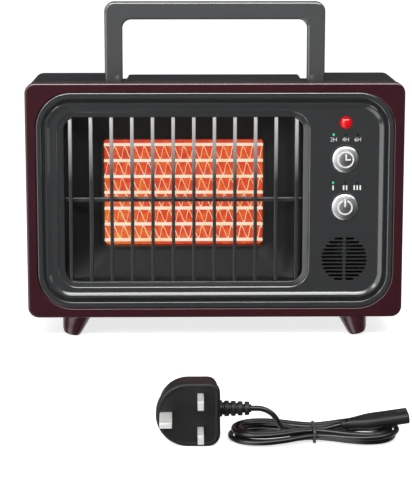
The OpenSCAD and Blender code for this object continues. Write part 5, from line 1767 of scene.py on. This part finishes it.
@dataclass
class Controls:
    """Two push buttons with inlaid icons, the domed indicator and the light pipes.

    Attributes:
        x: Middle of the column.
        button_r: Radius of a cap.
        dome_r: Radius that its face is domed with.
        cap_y: Depth of its middle.
        timer_z: Height of the timer button.
        power_z: Height of the power button.
        lamp_z: Height of the indicator.
        lamp_r: Radius of the indicator.
        lamp_d: Depth of its dome.
        flange_w: How far a cap and the indicator reach out behind the panel.
        icon_r: Outer radius of the clock.
        stroke: Width of the icons' lines.
    """
    x: float = 103.5
    button_r: float = 11.0
    dome_r: float = 32.0
    cap_y: float = -45.8
    timer_z: float = 144.7
    power_z: float = 106.3
    lamp_z: float = 174.1
    lamp_r: float = 4.8
    lamp_d: float = 4.0
    flange_w: float = 1.4
    icon_r: float = 6.75
    stroke: float = 1.3

    def build(self) -> None:
        """Make the buttons and the indicator, and dress the light pipes."""
        self.button(self.timer_z, "timer_button")
        self.button(self.power_z, "power_button")
        self.timer_icon()
        self.power_icon()
        self.indicator()
        for name in ("timer_light_lit", "level_light_lit"):
            dress(name, LIGHT_GREEN, 0.2)
        for name in ("timer_lights", "level_lights"):
            dress(name, LIGHT_DARK, 0.2)

    def skin_y(self, r: float) -> float:
        """Give the depth of the cap's dome at a distance from its middle."""
        return self.cap_y + self.dome_r - math.sqrt(self.dome_r ** 2 - r ** 2)

    def button(self, z: float, node: str) -> None:
        """Turn one button: a crowned cap with a rolled edge, a flange behind the panel and a stem.

        Args:
            z: Height of its middle.
            node: CAD node that it stands for.
        """
        dome_end = 9.8
        steps = (0.0, 0.6, 1.5, 2.6, 3.7, 4.6, 5.2, 6.0, 6.8, 7.6, 8.4, 9.2, dome_end)
        crown = [(r, self.skin_y(r)) for r in steps]
        rim_y = self.skin_y(dome_end)
        edge = [(10.3, rim_y + 0.3), (10.7, rim_y + 0.7), (10.93, rim_y + 1.3), (self.button_r, rim_y + 2.0)]
        flange_r = self.button_r + self.flange_w
        stem_r, tip_r = 2.5, 1.6
        behind = [(self.button_r, -40.7), (flange_r, -40.7), (flange_r, -39.5), (stem_r, -39.5),
                  (stem_r, -33.6), (tip_r, -33.6), (tip_r, -31.7), (0.0, -31.7)]
        form = Form()
        form.lathe(crown + edge + behind, (self.x, 0.0, z), Axis.Y, 96)
        form.piece(node + "_cap", TURNED, "button_silver", body=node, stands_for=(node,))

    def inlay(self, form: Form, rows: list[list[Flat]], z: float) -> None:
        """Lay a grid of points on the dome as a thin inlay.

        Args:
            form: Mesh that takes it.
            rows: Rows of points about the icon's middle, all as long.
            z: Height of the button's middle.
        """
        proud, sunk = 0.12, 0.3

        def lifted(points: list[Flat], lift: float) -> list[bmesh.types.BMVert]:
            """Add a row on the dome, raised by a distance."""
            return form.ring([(self.x + a, self.skin_y(math.hypot(a, b)) - lift, z + b) for a, b in points])

        top = [lifted(row, proud) for row in rows]
        low = [lifted(row, -sunk) for row in rows]
        for layer in (top, low):
            for first, second in zip(layer, layer[1:]):
                for k in range(len(first) - 1):
                    form.mesh.faces.new((first[k], first[k + 1], second[k + 1], second[k]))
        for first, second in ((top[0], low[0]), (top[-1], low[-1])):
            for k in range(len(first) - 1):
                form.mesh.faces.new((first[k], first[k + 1], second[k + 1], second[k]))
        for k in range(len(rows) - 1):
            for end in (0, -1):
                form.mesh.faces.new((top[k][end], top[k + 1][end], low[k + 1][end], low[k][end]))

    @staticmethod
    def arc(r: float, start: float, end: float, steps: int) -> list[Flat]:
        """Draw an arc of radius r between two angles in degrees."""
        angles = [math.radians(start + (end - start) * k / steps) for k in range(steps + 1)]
        return [(r * math.cos(a), r * math.sin(a)) for a in angles]

    @staticmethod
    def grid(x0: float, x1: float, z0: float, z1: float) -> list[list[Flat]]:
        """Draw a rectangle as a grid of points."""
        return [[(x0 + (x1 - x0) * i / 4, z0 + (z1 - z0) * j / 8) for i in range(5)] for j in range(9)]

    def timer_icon(self) -> None:
        """Inlay the clock: a ring and two hands."""
        form = Form()
        self.inlay(form, [self.arc(self.icon_r - self.stroke * k / 3, 0, 360, 72) for k in range(4)],
                   self.timer_z)
        left, low = -self.stroke / 2 + 0.3, -0.6
        hand = 4.4
        self.inlay(form, self.grid(left, left + self.stroke, low, hand), self.timer_z)
        self.inlay(form, self.grid(left + self.stroke, left + hand, low, low + self.stroke), self.timer_z)
        form.piece("clock_inlay", ICON_WHITE, "print_white", body="timer_button", stands_for=("timer_icon",))

    def power_icon(self) -> None:
        """Inlay the power sign: an open ring and a bar."""
        form = Form()
        r = self.icon_r - 0.6
        half_gap = 1.9
        gap = math.degrees(math.asin(half_gap / r))
        self.inlay(form, [self.arc(r - self.stroke * k / 3, 90 + gap, 450 - gap, 72) for k in range(4)],
                   self.power_z)
        self.inlay(form, self.grid(-self.stroke / 2, self.stroke / 2, 0.4, 7.0), self.power_z)
        form.piece("power_inlay", ICON_WHITE, "print_white", body="power_button", stands_for=("power_icon",))

    def indicator(self) -> None:
        """Turn the red dome with its collar behind the panel."""
        r = self.lamp_r
        tip_y = FRONT_Y + 0.3
        angles = [math.radians(90 * k / 14) for k in range(15)]
        dome = [(r * math.sin(a), tip_y + self.lamp_d * (1 - math.cos(a))) for a in angles]
        behind = [(r, -41.0), (r + self.flange_w, -41.0), (r + self.flange_w, -40.0), (0.0, -40.0)]
        form = Form()
        form.lathe(dome + behind, (self.x, 0.0, self.lamp_z), Axis.Y, 64)
        form.piece("indicator_dome", LENS_RED, "lens_red", stands_for=("indicator_lens",))


@dataclass
class CarryHandle:
    """The folding handle, its screws and its pins.

    Attributes:
        width: Width across the legs.
        leg_w: Width of a leg.
        front_y: Depth of the front.
        back_y: Depth of the back.
        pivot_y: Depth of the pins.
        pivot_z: Height of the pins.
        top_z: Height of the top.
        out_r: Outer radius of the corners.
        in_r: Inner radius of the corners.
        edge_r: Radius of the long edges.
        barrel_r: Radius of a leg's rounded foot.
        bore_r: Radius of its bore.
        screw_r: Radius of the recess for a screw.
        screw_x: Distance from the handle's middle to a screw.
        screw_z: Height of the screws.
        corner_steps: Steps round a corner.
    """
    width: float = 174.6
    leg_w: float = 14.2
    front_y: float = -31.2
    back_y: float = -24.2
    pivot_y: float = -23.0
    pivot_z: float = 199.8
    top_z: float = 268.8
    out_r: float = 8.0
    in_r: float = 7.0
    edge_r: float = 1.9
    barrel_r: float = 3.2
    bore_r: float = 1.55
    screw_r: float = 1.8
    screw_x: float = 77.2
    screw_z: float = 208.9
    corner_steps: int = 14

    def build(self) -> None:
        """Make the handle, with a recess for a screw in each leg, and dress its hardware."""
        form = Form()
        rings = []
        for inset, back in reversed(EDGE):
            rings.append(form.across(self.arch(inset * self.edge_r), self.front_y + back * self.edge_r))
        for inset, back in rounding(self.edge_r, 5):
            rings.append(form.across(self.arch(inset), self.back_y - back))
        form.skin(rings, capped=False)
        form.mesh.faces.new(rings[-1])
        recesses = []
        for s in (-1, 1):
            well = []
            for wider, deep in ((0.3, 0.0), (0.0, 0.3), (0.0, 1.2)):
                loop = circle(self.screw_r + wider, s * self.screw_x, self.screw_z, 40)
                well.append(form.across(loop, self.front_y + deep))
            form.skin(well, capped=False)
            form.mesh.faces.new(well[-1])
            recesses.append(well[0])
        form.fill([rings[0]] + recesses)
        for s in (-1, 1):
            self.barrel(form, s * (self.width / 2 - self.leg_w / 2))
        form.piece("carry_handle", GUNMETAL, "handle_grey", body="handle", stands_for=("handle",), sharp=40)
        dress("handle_screws", STEEL, 0.15)
        dress("handle_pins", STEEL, 0.2)

    def arch(self, inset: float) -> list[Flat]:
        """Draw the handle's outline from the front, drawn in all round by an inset.

        Args:
            inset: How far it is drawn in.

        Returns:
            Points anticlockwise, from the right leg's foot.
        """
        out_x = self.width / 2 - inset
        in_x = self.width / 2 - self.leg_w + inset
        top = self.top_z - inset
        under = self.top_z - self.leg_w + inset
        low = self.pivot_z + inset
        out_r, in_r = self.out_r - inset, self.in_r + inset
        points: list[Flat] = [(out_x, low)]
        points += self.bend(out_x - out_r, top - out_r, out_r, 0, 90)
        points += self.bend(-out_x + out_r, top - out_r, out_r, 90, 180)
        points += [(-out_x, low), (-in_x, low)]
        points += self.bend(-in_x + in_r, under - in_r, in_r, 180, 90)
        points += self.bend(in_x - in_r, under - in_r, in_r, 90, 0)
        points += [(in_x, low)]
        return points

    def bend(self, x: float, z: float, r: float, start: float, end: float) -> list[Flat]:
        """Draw an arc about x and z between two angles in degrees.

        Args:
            x: Middle across.
            z: Middle upwards.
            r: Radius.
            start: First angle.
            end: Last angle.

        Returns:
            Points of the arc.
        """
        count = self.corner_steps
        turns = [math.radians(start + (end - start) * k / count) for k in range(count + 1)]
        return [(x + r * math.cos(a), z + r * math.sin(a)) for a in turns]

    def barrel(self, form: Form, middle: float) -> None:
        """Add the rounded foot of a leg, which turns on its pin.

        Args:
            form: Mesh that takes it.
            middle: X of the leg's middle.
        """
        half = self.leg_w / 2
        bore = self.bore_r
        cut = 0.4
        profile: list[Flat] = [(bore, -half), (self.barrel_r - cut, -half), (self.barrel_r, -half + cut),
                               (self.barrel_r, half - cut), (self.barrel_r - cut, half), (bore, half)]
        rings = []
        for r, along in profile:
            rings.append(form.ring([(middle + along, self.pivot_y + a, self.pivot_z + b)
                                    for a, b in circle(r, steps=48)]))
        form.skin(rings, looped=True)
        shank = outline(self.pivot_y - 0.5 - self.front_y, 2 * self.barrel_r, 0.6,
                        (self.front_y + self.pivot_y - bore - 0.6) / 2, self.pivot_z, 3)
        shank = [(min(a, self.pivot_y - bore - 0.1), b) for a, b in shank]
        inside = half - 0.02
        form.skin([form.ring([(middle + side * inside, a, b) for a, b in shank]) for side in (-1, 1)])


@dataclass
class InnerWorks:
    """What the casing holds: fan, boards, switch, inlet and wires, seen through the slots."""

    def build(self) -> None:
        """Dress each piece in its own finish."""
        # Glass-fibre laminate: green under its solder mask. The control board behind the vent is drawn black
        # instead, as painted shade that keeps the vent's slots dark.
        board_green = Finish("board_green_laminate", "#1f5a35", "#1a4c2d", 0.42, 0.6, 0.006, coat=0.2)
        board_painted_shade = Finish("board_laminate_painted_shade", "#121413", "#0f1110", 0.5, 0.6, 0.006, specular=0.2)
        # Moulded epoxy: dull black packages, and a clear pink lamp with a hard shine.
        component_black = Finish("component_black_epoxy", "#232427", "#1d1e20", 0.45)
        led_clear = Finish("led_clear_epoxy", "#e9a8a2", "#d98f88", 0.15, coat=0.5)
        # Extruded PVC ribbon: grey, grained along its wires.
        ribbon_grey = Finish("ribbon_grey_pvc", "#c6c6c6", "#b0b0b0", 0.45, 1.27, 0.1, stretch=(1, 12, 12))
        # Sintered ferrite and bronze: one dull and brownish grey, the other a soft golden metal.
        magnet_grey = Finish("magnet_sintered_ferrite", "#4c4844", "#403c39", 0.6)
        bronze = Finish("bearings_sintered_bronze", "#b9935a", "#9b7946", 0.4, metallic=1.0)
        # Wound copper wire under its enamel: reddish, with a coarse grain for the turns.
        copper = Finish("stator_enamelled_copper", "#9a4f2c", "#7c3d21", 0.35, 0.5, 0.05, metallic=0.8)
        # Moulded cases: amber for relays and capacitors, ivory for the switch, black for the socket.
        amber = Finish("parts_amber_case", "#c9a227", "#b08c1d", 0.4)
        ivory = Finish("switch_ivory_polyamide", "#e2ddcf", "#d2ccbc", 0.5)
        socket_black = Finish("socket_black_polyamide", "#161718", "#121314", 0.42)
        # Silicone sleeves of the wires: a matt red.
        wire_red = Finish("wire_red_silicone", "#a03028", "#8a2720", 0.5)
        # Nickel-plated cap of the cut-out: a light metal.
        plate = Finish("cutout_nickel_plate", "#c8c9cb", "#b3b4b6", 0.3, metallic=1.0)
        finishes = {
            # The control board takes the black of painted shade.
            "control_board": board_painted_shade, "power_board": board_green, "tact_switches": component_black,
            "indicator_led": led_clear, "infrared_receiver": component_black, "buzzer": component_black,
            "board_screws": STEEL, "ribbon_cable": ribbon_grey, "thermal_cutout": plate,
            "air_duct": INNER_BLACK, "fan_frame": INNER_BLACK, "fan_impeller": IMPELLER,
            "fan_magnet": magnet_grey, "fan_shaft": STEEL, "fan_bearings": bronze, "fan_stator": copper,
            "fan_screws": STEEL, "board_parts": amber, "tip_over_switch": ivory,
            "inlet_socket": socket_black, "inlet_pins": STEEL, "inner_wires": wire_red,
            "cover_screws": STEEL, "foot_screws": STEEL,
        }
        for name, finish in finishes.items():
            dress(name, finish, 0.15 if finish is STEEL else 0.25)


def main() -> None:
    """Build the scene and then the object, piece by piece."""
    logging.basicConfig(level=logging.INFO, format="%(message)s")
    bpy.context.scene.view_settings.view_transform = "Standard"
    for maker in (Studio(), Lead(), Casing(), Fascia(), Grille(), HeatingElement(), Controls(),
                  CarryHandle(), InnerWorks()):
        maker.build()
        LOG.info("%s is done", type(maker).__name__)


if __name__ == "__main__":
    main()
